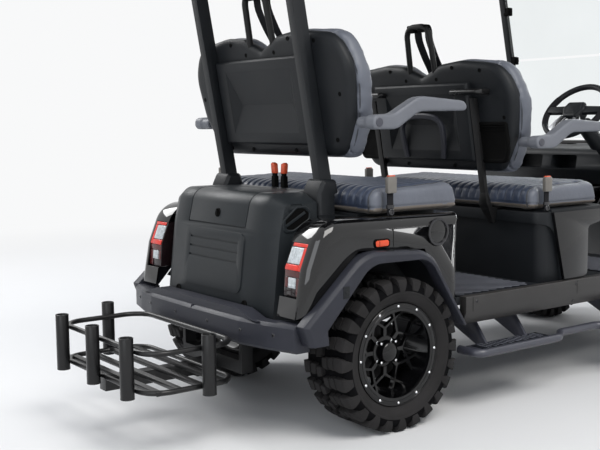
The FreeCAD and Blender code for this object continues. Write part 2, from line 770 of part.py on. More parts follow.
def make_frame():
    """Ladder frame with cross members, outriggers and the towers of the front dampers."""
    pieces = []
    low, high = frame_bottom, sized(dim.frame_top)
    front, rear = ahead(dim.frame_nose), aft(dim.frame_tail)
    for side in (-1, 1):
        inner = dim.rail_x if side > 0 else -rail_out
        pieces.append(box("Rail", (inner, inner + dim.rail_width), (front, rear), (low, high)))
    for y in (fore(-405), fore(420), fore(960), fore(1500), ahead(270)):
        pieces.append(box("CrossMember", (-dim.rail_x, dim.rail_x), (y - 25, y + 25),
                          (low + 12, high - 8)))
    for y in (fore(640), fore(1080), fore(1700)):
        pieces.append(box("Outrigger", (-dim.body_half + 20, dim.body_half - 20),
                          (y - 20, y + 20), (high - 40, high)))
    tower_x = dim.rail_x + 5
    for side in (-1, 1):
        post = (tower_x, tower_x + 40) if side > 0 else (-tower_x - 40, -tower_x)
        pieces.append(box("TowerPost", post, (front_axle_y - 25, front_axle_y + 25),
                          (high, dim.tower_height)))
    pieces.append(box("TowerBeam", (-tower_x - 40, tower_x + 40),
                      (front_axle_y - 25, front_axle_y + 25),
                      (dim.tower_height - 30, dim.tower_height)))
    return node("frame", fuse("Frame", *pieces, make_receiver()))


def make_floor():
    """Floor pan and the slanted toe board between it and the cowl."""
    edge = wall_front - 105
    pan = box("FloorPan", (-dim.body_half + 15, dim.body_half - 15),
              (fore(edge), fore(dim.rear_pod_front - 14)), (dim.frame_top, floor_top))
    rise, top = floor_top + 180, floor_top + 240
    board = padded("ToeBoard", "YZ", [
        (fore(edge), dim.frame_top), (fore(edge), floor_top),
        (fore(wall_front - 10), rise), (fore(wall_front - 10), top),
        (fore(wall_front) + dim.seat_gap, top), (fore(wall_front) + dim.seat_gap, rise - 4),
        (fore(edge + 11), dim.frame_top),
    ], -dim.body_half + 15, dim.body_half - 15)
    return node("floor_pan", fuse("Floor", pan, board))


def make_sills():
    corners = [
        (dim.body_half - 15, dim.sill_top),
        (dim.sill_half, dim.sill_top, 5),
        (dim.sill_half, dim.sill_break),
        (dim.sill_half - dim.sill_bevel, dim.sill_bottom),
        (dim.body_half - 15, dim.sill_bottom),
    ]
    side = padded("SillLeft", "XZ", corners, fore(wall_front - 105), fore(dim.rear_pod_front + 8))
    return node("sills", pair("Sills", side))


# Rear body
tyre_r = axle_z
arch_top = dim.tyre_od + dim.arch_rise
arch_foot = dim.sill_bottom + 9
REAR_ARCH = (
    # y behind the rear axle, z: along the outside, then back along the inside
    (-tyre_r - 55, arch_foot), (-tyre_r + 142, arch_top), (tyre_r - 114, arch_top + 18),
    (tyre_r + 159, 451), (tyre_r + 131, 378),
    (tyre_r + 55, 378), (tyre_r + 62, 430), (tyre_r - 140, arch_top - 28),
    (-tyre_r + 152, arch_top - 33), (-tyre_r - 32, arch_foot),
)


def along_line(first, second, z):
    """Y where the line through two points (y, z) reaches a height."""
    share = (sized(z) - first[1]) / (sized(second[1]) - first[1])
    return sized(first[0]) + (sized(second[0]) - first[0]) * share


# Tail lamp: inside the body side, and its heights above ground
LAMP_INSET, LAMP_LOW, LAMP_HIGH = 51, 538, 728
lamp_out = dim.body_half - LAMP_INSET


def make_rear_fenders():
    """Glossy quarter panels: hollow, crowned to the rear and cut away for wheel and lamp."""
    half = sized(dim.body_half)
    low, deck = dim.sill_top + 1, dim.seat_deck
    front_line, rear_line = REAR_ARCH[:2], REAR_ARCH[2:4]
    corners = [
        (aft(-312), low),
        (aft(along_line(*front_line, low)) - 0.6, low),
        (aft(front_line[1][0]) - 0.4, front_line[1][1] + 0.4),
        (aft(rear_line[0][0]) + 0.2, rear_line[0][1] + 0.4),
        (aft(along_line(*rear_line, low)) + 1.5, low + 0.4),
        (aft(400), 640, 60),
        (aft(330), deck + 10, 120),
        (aft(-348), deck, 8),
        (aft(-348), deck - 87),
        (aft(-312), deck - 112),
    ]
    wall = dim.skin
    hollow_corners = [
        (aft(-312) + wall, low - 11),
        (aft(-240), low - 11),
        (aft(front_line[1][0]) + 8, front_line[1][1] - 13),
        (aft(rear_line[0][0]), rear_line[0][1] - 13),
        (aft(426), low - 9),
        (aft(396) - 4, 638, 54),
        (aft(324), deck + 10 - wall, 114),
        (aft(-348) + wall, deck - wall, 3),
        (aft(-348) + wall, deck - 87),
        (aft(-312) + wall, deck - 112),
    ]
    outer = padded("FenderOuter", "YZ", corners, dim.fender_inner, half)
    inner = padded("FenderInner", "YZ", hollow_corners, dim.fender_inner - 10, half - wall)
    outer = crowned("FenderCrown", outer, dim.fender_round, half)
    inner = crowned("FenderHollow", inner, dim.fender_round - wall, half - wall)
    gap = dim.seat_gap
    lamp_hole = box("LampHole", (dim.fender_inner - 10, lamp_out + gap), (aft(320), aft(460)),
                    (LAMP_LOW - gap, LAMP_HIGH + gap))
    shell = cut("FenderShell", outer, inner)
    shell = cut("FenderPanel", shell, lamp_hole)
    return node("rear_fenders", pair("RearFenders", shell))


def crowned(name, base, radius, face):
    """Round the edge between a fender's side face and its top and rear."""
    top, rear = float(dim.seat_deck) - 20, float(aft(385))
    front = float(aft(-330))

    def chosen(edge):
        middle = edge.CenterOfMass
        if edge.BoundBox.XLength > 0.1 or abs(middle.x - float(face)) > 0.1:
            return False
        return middle.y > rear or (middle.z > top and middle.y > front)

    return rounded(name, base, radius, chosen)


def bevelled(name, base, size, chosen, depth=None):
    """Chamfer on the edges of base that the test chosen accepts."""
    depth = size if depth is None else depth
    doc.recompute()
    chamfer = doc.addObject("Part::Chamfer", name)
    chamfer.Base = base
    edges = [i for i, edge in enumerate(base.Shape.Edges, 1) if chosen(edge)]
    chamfer.Edges = [(i, float(size), float(depth)) for i in edges]
    doc.recompute()
    return chamfer


def on_face(axis, level):
    """Test for the edges that lie in the plane where an axis has one level."""
    def chosen(edge):
        box_size = edge.BoundBox
        length = {"x": box_size.XLength, "y": box_size.YLength, "z": box_size.ZLength}[axis]
        return length < 0.1 and abs(getattr(edge.CenterOfMass, axis) - float(level)) < 0.1
    return chosen


def along_points(points, x):
    """Test for the straight edges in one plane across X that join neighbours of the points (y, z)."""
    pairs = zip(points, points[1:])
    middles = [vector(x, (first[0] + second[0]) / 2, (first[1] + second[1]) / 2)
               for first, second in pairs]
    return lambda edge: any(edge.CenterOfMass.distanceToPoint(middle) < 1 for middle in middles)


def make_rear_flare():
    corners = [(aft(y), z) for y, z in REAR_ARCH]
    flare = padded("RearFlare", "YZ", corners, dim.body_half - 14, dim.flare_out)
    return bevelled("RearFlareBevel", flare, 13, along_points(corners[:5], dim.flare_out))


def make_rear_pod():
    """Black structure under the rear seat: deck, kick panel and inner wheel houses."""
    front, rear = fore(dim.rear_pod_front) + 4, aft(dim.bustle_front) - dim.seat_gap
    inner = dim.fender_inner - dim.seat_gap
    deck = box("SeatDeck", (-inner, inner), (front, rear), (dim.seat_deck - 10, dim.seat_deck))
    tray = box("CushionTray", (-inner, inner), (front, aft(60)),
               (dim.seat_deck, dim.cushion_bottom - dim.seat_gap))
    kick = box("KickPanel", (-inner, inner), (front, front + 10),
               (floor_top + dim.seat_gap, dim.seat_deck))
    pieces = [deck, tray, kick]
    for side in (-1, 1):
        x = dim.wheelhouse_half * side
        wall_x = (x - 8, x) if side > 0 else (x, x + 8)
        pieces.append(box("HouseWall", wall_x, (front, rear), (floor_top + 1, dim.seat_deck)))
    liner = arch_liner("RearLiner", rear_axle_y, dim.wheelhouse_half, dim.body_half - 15)
    pieces += [liner, mirrored("RearLinerTwin", liner)]
    return node("rear_pod", fuse("RearPod", *pieces))


def arch_liner(name, axle_y, near, far):
    """Moulded arch over a tyre, inside the body's wheel opening."""
    low, high, wall = dim.sill_top + 12, dim.tyre_od + dim.liner_rise, 6
    foot, shoulder = tyre_r + 14, tyre_r - 138
    return padded(name, "YZ", [
        (axle_y - foot, low), (axle_y - shoulder, high, 40),
        (axle_y + shoulder, high, 40), (axle_y + foot, low),
        (axle_y + foot - wall - 1, low), (axle_y + shoulder - 3, high - wall, 36),
        (axle_y - shoulder + 3, high - wall, 36), (axle_y - foot + wall + 1, low),
    ], near, far)


# Lid: hinge line behind the rear axle, and lower edge above ground
HATCH_HINGE, HATCH_LOW = 200, 762


def housing(name, depth):
    """Storage housing's outer form with its bevelled corners, drawn in by a depth."""
    half = dim.bustle_half - depth
    front, low, high = aft(dim.bustle_front), dim.bustle_bottom, dim.bustle_top
    body = padded(name, "YZ", [
        (front + depth, low + depth),
        (aft(dim.frame_tail) - depth, low + depth),
        (aft(404) - depth, 750, 300),
        (aft(372) - depth, high - depth, 62 - depth),
        (front + depth, high - depth),
    ], -half, half)
    front_y, low_z = float(front + depth), float(low + depth)

    def corner_edge(edge):
        middle = edge.CenterOfMass
        flat = edge.BoundBox.XLength < 0.1 and abs(abs(middle.x) - float(half)) < 0.1
        return flat and middle.y > front_y + 1 and middle.z > low_z + 1

    return bevelled(name + "Bevel", body, dim.bustle_bevel, corner_edge, dim.bevel_depth)


def panel_region(name, half, low, high, radius):
    """Rounded block behind the storage housing, for a raised or sunk panel."""
    return padded(name, "XZ", [
        (-half, low, radius), (half, low, radius), (half, high, radius), (-half, high, radius),
    ], aft(340), aft(480))


def make_bustle():
    """Rear storage housing with its crowned back and the lip that the lid lies on."""
    outer, inner = housing("BustleOuter", sized(0)), housing("BustleInner", sized(dim.skin))
    for side in (-1, 1):
        outer, inner = notched(outer, inner, side)
    shell = cut("BustleShell", outer, inner)
    shell = cut("BustleMouthed", shell, hatch_region("BustleMouth", dim.hatch_gap))
    lip = cut("LipShell", housing("LipOuter", dim.skin + dim.seat_gap),
              housing("LipInner", dim.skin + dim.seat_gap + 4))
    web = cut("WebShell", housing("WebOuter", dim.skin - 1), housing("WebInner", dim.skin + 4))
    lip_ring = cut("LipRing", hatch_region("LipEdge", dim.hatch_gap + 8), hatch_region("LipHole", -12))
    web_ring = cut("WebRing", hatch_region("WebEdge", dim.hatch_gap + 8),
                   hatch_region("WebHole", dim.hatch_gap))
    seat = fuse("LidSeat", common("Lip", lip, lip_ring), common("Web", web, web_ring))
    raised = cut("PanelShell", housing("PanelOuter", sized(-PANEL_RISE)), housing("PanelInner", sized(3)))
    panel = common("PanelBlock", raised, panel_region("PanelRegion", 214, 512, 738, 34))
    slots = [panel_region("PanelSlot", 176, z - 4, z + 4, 3) for z in PANEL_SLOTS]
    groove = cut("GrooveShell", housing("GrooveOuter", sized(-20)), housing("GrooveInner", sized(0.5)))
    grooves = common("Grooves", groove, group("PanelSlots", *slots))
    panel = cut("Panel", panel, grooves)
    body = fuse("BustleBody", shell, seat, panel)
    vents = []
    for side in (-1, 1):
        vents += make_vents(side)
    return node("bustle", cut("Bustle", body, group("Vents", *vents))), outer, inner


# Raised panel under the lid: how far it stands out, and its grooves above ground
PANEL_RISE = 5
PANEL_SLOTS = (700, 664, 628)


def make_vents(side):
    """Recesses of a slanted vent in the housing's flank."""
    face = dim.bustle_half
    low, high = (face - 3.5, face + 5) if side > 0 else (-face - 5, 3.5 - face)
    pieces = []
    for y, z in ((270, 846), (282, 824), (294, 802), (306, 780)):
        pieces.append(padded("VentSlot", "YZ", [
            (aft(y), z + 8, 4), (aft(y) - 6, z - 4, 4), (aft(y) + 44, z - 4, 4),
            (aft(y) + 50, z + 8, 4),
        ], low, high))
    return pieces


def notched(outer, inner, side):
    """Cut the shelf for a strut's foot out of the housing and keep the wall round it."""
    near, far = dim.strut_x - 60, sized(dim.bustle_half) + 10
    depth = aft(dim.strut_foot) + 70
    wall = sized(dim.skin)
    x = (near, far) if side > 0 else (-far, -near)
    x_wall = (near - wall, far) if side > 0 else (-far, wall - near)
    start = aft(dim.bustle_front) - 10
    top = sized(dim.bustle_top) + 10
    notch = box("FootNotch", x, (start, depth), (dim.seat_deck, top))
    notch_wall = box("FootNotchWall", x_wall, (start, depth + wall), (dim.seat_deck - wall, top))
    return cut("BustleNotched", outer, notch), cut("BustleInnerNotched", inner, notch_wall)


def hatch_region(name, gap):
    """Block over the part of the housing that the lid covers, larger by a gap all round."""
    half = dim.hatch_half + gap
    return padded(name, "YZ", [
        (aft(HATCH_HINGE) - gap, 800),
        (aft(300), 800),
        (aft(330), HATCH_LOW - gap),
        (aft(470), HATCH_LOW - gap),
        (aft(470), dim.bustle_top + 40),
        (aft(HATCH_HINGE) - gap, dim.bustle_top + 40),
    ], -half, half)


def make_hatch(outer, inner):
    lid = common("HatchLid", cut("HatchSkin", outer, inner), hatch_region("HatchRegion", sized(0)))
    return node("trunk_hatch", lid)


def make_rear_bumper():
    low, step, high = 352, 452, 478
    side = dim.body_half - 14.5

    def rear_edge(edge, level):
        return on_face("z", level)(edge) and edge.CenterOfMass.y > float(aft(470))

    corner = [
        (0, aft(dim.frame_tail) + dim.seat_gap),
        (side - 140, aft(dim.frame_tail) + dim.seat_gap),
        (side - 90, aft(390)),
        (side, aft(390)),
        (side, aft(458)),
        (side - 116, aft(492), 60),
        (side - 256, aft(520), 60),
        (0, aft(526)),
    ]
    half = bevelled("BumperBevel", padded("BumperHalf", "XY", corner, low, step), 12,
                    lambda edge: rear_edge(edge, low) or rear_edge(edge, step))
    top = padded("BumperTop", "XZ", [
        (0, step - 2), (side - 156, step - 2), (side - 190, step), (side - 276, high), (0, high),
    ], aft(dim.frame_tail) + dim.seat_gap, aft(505))
    half_solid = fuse("BumperHalfSolid", half, top)
    whole = fuse("RearBumper", half_solid, mirrored("BumperTwin", half_solid))
    return node("rear_bumper", whole)


def make_tail_lamps():
    corners = [
        (aft(330), LAMP_LOW), (aft(404), LAMP_LOW), (aft(396), 640), (aft(360), LAMP_HIGH),
        (aft(330), LAMP_HIGH),
    ]
    lamp = padded("TailLamp", "YZ", corners, dim.fender_inner + 4, lamp_out)
    return node("tail_lamps", pair("TailLamps", lamp))


def make_side_trim():
    marker = padded("Marker", "YZ", [
        (aft(36), 700, 8), (aft(98), 700, 8), (aft(98), 722, 8), (aft(36), 722, 8),
    ], dim.body_half, dim.body_half + 5)
    node("side_markers", pair("SideMarkers", marker))
    ring = cylinder("CapRingOuter", "X", 53, (dim.body_half, aft(-215), 733), 8)
    hole = cylinder("CapRingInner", "X", 44, (dim.body_half + 3, aft(-215), 733), 8)
    node("cap_rings", pair("CapRings", cut("CapRing", ring, hole)))


def strut_y(z):
    """Y of the roof strut's middle line at a height."""
    return aft(dim.strut_foot) + (sized(z) - dim.strut_foot_height) * dim.strut_lean


def make_rear_struts():
    """Roof struts rising from boxed feet beside the storage housing."""
    deep = dim.strut_depth / 2
    low, knee, top = dim.bustle_top, dim.strut_foot_height, dim.roof_bottom
    wide = dim.strut_width / 2
    strut = padded("Strut", "YZ", [
        (strut_y(low) - deep, low), (strut_y(low) + deep, low),
        (strut_y(top) + deep, top), (strut_y(top) - deep, top),
    ], dim.strut_x - wide, dim.strut_x + wide)
    base = sized(dim.seat_deck)
    foot_front = aft(dim.bustle_front)
    foot = padded("StrutFoot", "YZ", [
        (foot_front, base), (strut_y(base) + 84, base), (strut_y(low) + 66, low),
        (strut_y(knee) + 34, knee, 20), (strut_y(knee) - 30, knee, 20),
        (strut_y(low) - 32, low), (foot_front, low - 10),
    ], dim.strut_x - 55, dim.strut_x + 55)
    out, into = on_face("x", dim.strut_x + 55), on_face("x", dim.strut_x - 55)

    def edge_of_foot(edge):
        return (out(edge) or into(edge)) and edge.CenterOfMass.z > float(base) + 1 \
            and edge.CenterOfMass.y > float(foot_front) + 1

    foot = bevelled("StrutFootBevel", foot, 12, edge_of_foot)
    flange = box("StrutFlange", (dim.strut_x - 57, dim.strut_x + 57),
                 (foot_front, strut_y(base) + 87), (base, base + 9))
    return node("rear_struts", pair("RearStruts", fuse("StrutSide", strut, foot, flange)))


def pillar_y(z):
    """Y of the front pillar's middle line at a height."""
    return fore(dim.pillar_foot) + (sized(z) - dim.pillar_foot_z) * dim.pillar_lean


roof_front = pillar_y(dim.roof_bottom) - dim.roof_lip


def roof_form(name, depth):
    """Crowned canopy form between its front and rear edges, drawn in by a depth."""
    half = dim.roof_half - depth
    low, high = dim.roof_bottom, dim.roof_bottom + dim.roof_thickness - depth
    return padded(name, "XZ", [
        (-half, low - depth), (-half, low + 24, 14), (-half * 0.72, high - 10, 160), (0, high),
        (half * 0.72, high - 10, 160), (half, low + 24, 14), (half, low - depth),
    ], roof_front + depth, aft(dim.roof_rear) - depth)


def make_roof():
    """Canopy shell with the beams that the struts and pillars carry."""
    shell = cut("RoofShell", roof_form("RoofOuter", sized(0)), roof_form("RoofInner", dim.roof_skin))
    low = dim.roof_bottom
    half = dim.roof_half - 4
    beams = [box("RoofBeam", (-half, half), (y - 40, y + 40), (low, low + 22))
             for y in (strut_y(low), pillar_y(low))]
    ribs = [box("RoofRib", (x - 20, x + 20), (roof_front + 4, aft(dim.roof_rear) - 4),
                (low + 6, low + 40)) for x in (-300, 0, 300)]
    return node("roof", fuse("Roof", shell, *beams, *ribs))


def make_front_pillars():
    low, top = sized(COWL_TOP), dim.roof_bottom
    pillar = padded("Pillar", "YZ", [
        (pillar_y(low) - 18, low), (pillar_y(low) + 18, low),
        (pillar_y(top) + 18, top), (pillar_y(top) - 18, top),
    ], dim.pillar_x - 16, dim.pillar_x + 16)
    return node("front_pillars", pair("FrontPillars", pillar))


def make_windscreen():
    thick = 5
    half = dim.pillar_x - 16.5
    panes = []
    for low, top in ((dim.pillar_foot_z, dim.screen_fold - 6), (dim.screen_fold + 6, dim.roof_bottom - 4)):
        panes.append(padded("Pane", "YZ", [
            (pillar_y(low) - thick / 2, low), (pillar_y(low) + thick / 2, low),
            (pillar_y(top) + thick / 2, top), (pillar_y(top) - thick / 2, top),
        ], -half, half))
    return node("windscreen", group("Windscreen", *panes))


# Front body
COWL_TOP = 1040


def make_front_cowl():
    """Sloping hood, hollow below, with its wheel house liners."""
    half = sized(dim.body_half)
    nose = ahead(dim.front_overhang - 60)
    wall, foot = fore(wall_front), fore(dim.pillar_foot)
    outer = padded("CowlOuter", "YZ", [
        (wall, 600), (foot + 40, COWL_TOP), (foot - 30, COWL_TOP, 30),
        (nose + 120, 830, 200), (nose, 740, 70), (nose, 470), (nose + 60, 470),
        (nose + 60, 640), (foot + 40, 640),
    ], -half, half)
    inner = padded("CowlInner", "YZ", [
        (wall + 20, 590), (foot + 60, COWL_TOP - 20), (foot - 25, COWL_TOP - 8, 22),
        (nose + 124, 822, 190), (nose + 8, 736, 62), (nose + 8, 460), (nose + 70, 460),
        (nose + 70, 632), (foot + 40, 632),
    ], -half + 8, half - 8)
    top, back = 735.0, float(foot) - 20
    sides = (on_face("x", half), on_face("x", -half))

    def hood_edge(edge):
        middle = edge.CenterOfMass
        return any(side(edge) for side in sides) and middle.z > top and middle.y < back

    outer = rounded("CowlSoft", outer, 30, hood_edge)
    inside = (on_face("x", half - 8), on_face("x", 8 - half))
    inner = rounded("CowlHollow", inner, 24, lambda edge: any(side(edge) for side in inside)
                    and edge.CenterOfMass.z > top - 8 and edge.CenterOfMass.y < back + 8)
    liner = arch_liner("FrontLiner", front_axle_y, dim.rail_x + 90, half - 4)
    shell = cut("FrontCowlShell", outer, inner)
    return node("front_cowl", fuse("FrontCowl", shell, liner, mirrored("FrontLinerTwin", liner)))


ARCH_OUT = (
    # y ahead of the front axle is negative here, z
    (tyre_r + 78, arch_foot), (tyre_r - 90, arch_top), (-tyre_r + 100, arch_top),
    (-tyre_r - 82, 420), (-tyre_r - 82, 378),
)
ARCH_IN = (
    (-tyre_r - 50, 378), (-tyre_r - 50, 420), (-tyre_r + 125, arch_top - 28),
    (tyre_r - 115, arch_top - 28), (tyre_r + 50, arch_foot),
)


def make_flares():
    corners = [(front_axle_y + y, z) for y, z in ARCH_OUT + ARCH_IN]
    front = padded("FrontFlare", "YZ", corners, dim.body_half + dim.seat_gap, dim.flare_out)
    front = bevelled("FrontFlareBevel", front, 13, along_points(corners[:5], dim.flare_out))
    rear = make_rear_flare()
    return node("arch_flares", group("Flares", pair("FrontFlares", front), pair("RearFlares", rear)))


def make_front_bumper():
    nose = ahead(dim.front_overhang)
    corners = [
        (0, nose), (380, nose, 120), (dim.flare_out - 40, nose + 110, 40),
        (dim.flare_out - 20, front_axle_y - 378), (dim.flare_out - 80, front_axle_y - 378),
        (360, nose + 50), (0, nose + 50),
    ]
    half = padded("FrontBumperHalf", "XY", corners, 360, 466)
    return node("front_bumper", fuse("FrontBumper", half, mirrored("FrontBumperTwin", half)))


def make_headlamps():
    nose = ahead(dim.front_overhang - 60)
    lamp = box("Headlamp", (400, 560), (nose - 12, nose), (600, 680))
    return node("headlamps", pair("Headlamps", lamp))


def make_grille():
    nose = ahead(dim.front_overhang - 60)
    bars = [box("GrilleBar", (-380, 380), (nose - 10, nose), (500 + 36 * k, 518 + 36 * k))
            for k in range(5)]
    posts = [box("GrillePost", (x - 8, x + 8), (nose - 8, nose), (500, 662)) for x in (-300, 0, 300)]
    return node("grille", fuse("Grille", *bars, *posts))


def make_dash():
    foot = fore(dim.pillar_foot)
    corners = [
        (foot + 59, 820), (foot + 59, COWL_TOP - 20.3), (foot + 280, 1000, 40),
        (foot + 300, 900, 30), (foot + 210, 820),
    ]
    half = dim.body_half - 8 - dim.seat_gap
    dash = padded("DashBlank", "YZ", corners, -half, half)
    hole = along_column("ColumnHole", dim.column_od / 2 + dim.pin_gap, 30, 345)
    pockets = [padded("DashPocket", "XZ", [
        (x - wide, 900, 14), (x + wide, 900, 14), (x + wide, 970, 14), (x - wide, 970, 14),
    ], foot + 205, foot + 320) for x, wide in DASH_POCKETS]
    return node("dash", cut("Dash", dash, group("DashOpenings", hole, *pockets)))


# Dash pockets: middle and half width across
DASH_POCKETS = ((-500, 55), (0, 80), (250, 110), (480, 70))


# Seats
def pod_block(name, depth, bottom):
    """Front seat base with its rounded rear corners, drawn in by a depth."""
    top = dim.seat_deck - dim.front_seat_drop
    lip, front, rear = fore(dim.pod_lip), fore(dim.pod_front), fore(dim.pod_rear)
    half = dim.body_half - 15 - dim.seat_gap - depth
    if float(depth) < float(dim.pod_reveal):
        corners = [(front, bottom), (rear, bottom), (rear, top), (lip, top), (lip, top - 41),
                   (front, top - 73, 20)]
    else:
        corners = [(front + depth, bottom), (rear - depth, bottom), (rear - depth, top - depth),
                   (front + depth, top - depth)]
    block = padded(name, "YZ", corners, -half, half)

    def rear_corner(edge):
        flank = on_face("x", half)(edge) or on_face("x", -half)(edge)
        return flank and on_face("y", rear - depth)(edge)

    return rounded(name + "Soft", block, dim.pod_round - depth, rear_corner)


def make_front_pod():
    """Moulded base of the front seat with its arched lower part and glossy side panels."""
    top = dim.seat_deck - dim.front_seat_drop
    lip, front, rear = fore(dim.pod_lip), fore(dim.pod_front), fore(dim.pod_rear)
    half = dim.body_half - 15 - dim.seat_gap
    base = floor_top + dim.seat_gap
    arch = padded("PodArch", "YZ", [
        (rear - 138, base - 10), (rear + 20, base - 10), (rear + 20, top - 47),
        (rear - 128, top - 47, 140),
    ], -half - 5, half + 5)
    upper = cut("PodUpper", pod_block("PodOuter", sized(0), base), arch)
    core = pod_block("PodCore", dim.pod_reveal, base)
    hollow = pod_block("PodHollow", dim.pod_reveal + 8, floor_top - 5)
    tray = box("FrontTray", (-half, half), (lip, rear - 70),
               (top, dim.cushion_bottom - dim.front_seat_drop - dim.seat_gap))
    node("front_pod", fuse("FrontPod", cut("FrontPodShell", fuse("PodSolid", upper, core), hollow), tray))
    side = padded("PodSide", "YZ", [
        (front, floor_top + 8, 30), (rear - 144, floor_top + 8), (rear - 67, top - 1),
        (lip, top - 1), (lip, top - 41), (front, top - 73, 20),
    ], half, dim.body_half)
    node("front_pod_sides", pair("FrontPodSides", side))
    battery = box("Battery", (-300, 300), (front + 32, rear - 32), (floor_top, 690))
    node("battery_pack", battery)


ROWS = (
    # name, seat pitch shares ahead of the rear row
    ("rear", 0),
    ("front", 1),
)


def make_cushion(name, rows):
    y = fore(dim.cushion_front) - dim.seat_pitch * rows
    z = dim.cushion_bottom - dim.front_seat_drop * rows
    top = z + dim.cushion_height
    half = dim.cushion_half
    cushion = padded("Cushion" + name, "YZ", [
        (y + 4, z), (y, z + 26), (y + 24, top, 34), (y + dim.cushion_depth, top - 14, 40),
        (y + dim.cushion_depth, z),
    ], -half, half)
    soft = rounded("CushionSoft" + name, cushion, 26,
                   lambda edge: edge.Length > 40 and abs(abs(edge.CenterOfMass.x) - float(half)) < 1
                   and edge.CenterOfMass.z > float(z) + 20)
    return node("cushion_" + name, soft)


def back_front_y(z, rows):
    """Y of the seat back shell's rear face at a height."""
    level = sized(z) + dim.front_back_drop * rows
    return strut_y(level) - dim.strut_depth / 2 - dim.seat_gap - dim.seat_pitch * rows


def back_outline(half, low, high, notch):
    """Heart-shaped seat back outline in a rear view."""
    return [
        (0, low), (half - 120, low, 60), (half - 30, low + 150, 120), (half, low + 330, 150),
        (half - 70, high - 20, 130), (half * 0.45, high + 6, 200), (notch + 60, high - 6, 60),
        (0, high - notch),
    ]


def make_seat_back(name, rows):
    low = dim.back_bottom - dim.front_back_drop * rows
    high = low + dim.back_height
    rear_low, rear_high = back_front_y(low, rows), back_front_y(high, rows)
    for label, half, inset, near, far in (
            ("shell", dim.back_half - 30, 24, sized(0), dim.shell_thickness),
            ("pad", dim.back_half, 0, dim.shell_thickness + dim.seat_gap,
             dim.shell_thickness + dim.pad_thickness)):
        bottom, top = low + inset, high - inset
        slab = padded("Slab" + label + name, "YZ", [
            (back_front_y(bottom, rows) - far, bottom - 1),
            (back_front_y(bottom, rows) - near, bottom - 1),
            (back_front_y(top, rows) - near, top + 20),
            (back_front_y(top, rows) - far, top + 20),
        ], -half, half)
        outline = back_outline(half, bottom, top, sized(80 - inset))
        right = padded("Outline" + label + name, "XZ", outline, rear_low - 200, rear_high + 60)
        both = fuse("OutlineBoth" + label + name, right, mirrored("OutlineTwin" + label + name, right))
        body = common("Back" + label + name, slab, both)
        tools = [arm_bore(rows, side) for side in (-1, 1)]
        if label == "shell":
            body = fuse("ShellBoxed" + name, body, shell_box(name, rows, low))
            tools.append(belt_hoop("HoopSocket" + name, rows, dim.hoop_tube + 2 * dim.pin_gap, 1))
        node("back_" + label + "_" + name, cut("Bored" + label + name, body, fuse("BackTools", *tools)))


def shell_box(name, rows, low):
    """Raised box behind a seat back, between its struts, with a sunk middle."""
    post = dim.stay_x - dim.stay_width / 2 if rows else dim.strut_x - dim.strut_width / 2
    half, deep = post - 6, dim.shell_box
    foot, top = low + 64, low + 403
    block = padded("ShellBox" + name, "YZ", [
        (back_front_y(foot, rows) - 6, foot), (back_front_y(foot, rows) + deep, foot),
        (back_front_y(top, rows) + deep, top), (back_front_y(top, rows) - 6, top),
    ], -half, half)

    def rear_edge(edge):
        middle = edge.CenterOfMass
        return abs(middle.y - float(back_front_y(middle.z, rows) + deep)) < 0.1

    block = bevelled("ShellBoxBevel" + name, block, 10, rear_edge)
    foot, top = low + 110, top - 45
    sunk = padded("ShellBoxSunk" + name, "YZ", [
        (back_front_y(foot, rows) + deep - 4, foot), (back_front_y(foot, rows) + deep + 5, foot),
        (back_front_y(top, rows) + deep + 5, top), (back_front_y(top, rows) + deep - 16, top),
    ], -half + 75, half - 75)
    return cut("ShellBoxCut" + name, block, sunk)


def arm_pivot(rows):
    """Y and Z of a seat back's armrest pin."""
    z = dim.back_bottom - dim.front_back_drop * rows + dim.arm_pivot_rise
    return back_front_y(z, rows) - dim.shell_thickness, z


def arm_bore(rows, side):
    """Socket of an armrest's collar in the seat back."""
    y, z = arm_pivot(rows)
    start = dim.back_half - dim.arm_pin_depth - dim.pin_gap
    x = start if side > 0 else -start - 100
    return cylinder("ArmBore", "X", dim.arm_pin_od / 2 + dim.pin_gap, (x, y, z), 100)


def make_armrest(name, rows, side):
    """S-shaped armrest that swings up about a pin in the seat back's edge."""
    y0, z0 = arm_pivot(rows)
    inner = dim.back_half + 6
    pin_start = dim.back_half - dim.arm_pin_depth
    corners = [
        (y0 + 26, z0 - 26, 20), (y0 + 26, z0 + 26, 20), (y0 - 70, z0 + 30, 60),
        (y0 - 200, z0 + 96, 110), (y0 - 440, z0 + 78, 30), (y0 - 452, z0 + 40, 14),
        (y0 - 200, z0 + 38, 110), (y0 - 90, z0 - 26, 60),
    ]
    arm = padded("Arm" + name, "YZ", corners, inner, inner + dim.arm_width)
    pin = cylinder("ArmPin" + name, "X", dim.arm_pin_od / 2, (pin_start, y0, z0),
                   inner - pin_start)
    solid = fuse("ArmSolid" + name, arm, pin)
    if side < 0:
        solid = mirrored("ArmMirror" + name, solid)
    label = "armrest_" + name + ("_left" if side > 0 else "_right")
    return node(label, solid)


def belt_hoop(name, rows, diameter, under):
    """Bent tube over a seat back's notch, its feet sunk in the back's shell."""
    level = dim.back_bottom - dim.front_back_drop * rows + dim.hoop_level
    foot, high = level - under, level + dim.hoop_rise
    y_low, y_high = (back_front_y(z, rows) - dim.shell_thickness / 2 for z in (foot, high))
    return rail(name, [
        (-85, y_low, foot), (-70, y_high, high), (70, y_high, high), (85, y_low, foot),
    ], diameter, 50)


def make_seat_frames():
    """Belt hoops, and the front seat back's stays on their tapered feet."""
    pieces = [belt_hoop("Hoop" + name, rows, dim.hoop_tube, 0) for name, rows in ROWS]
    stay = make_stay(1, dim.back_bottom - dim.front_back_drop + dim.hoop_level)
    pieces += [stay, mirrored("StayTwin", stay)]
    return node("seat_frames", group("SeatFrames", *pieces))


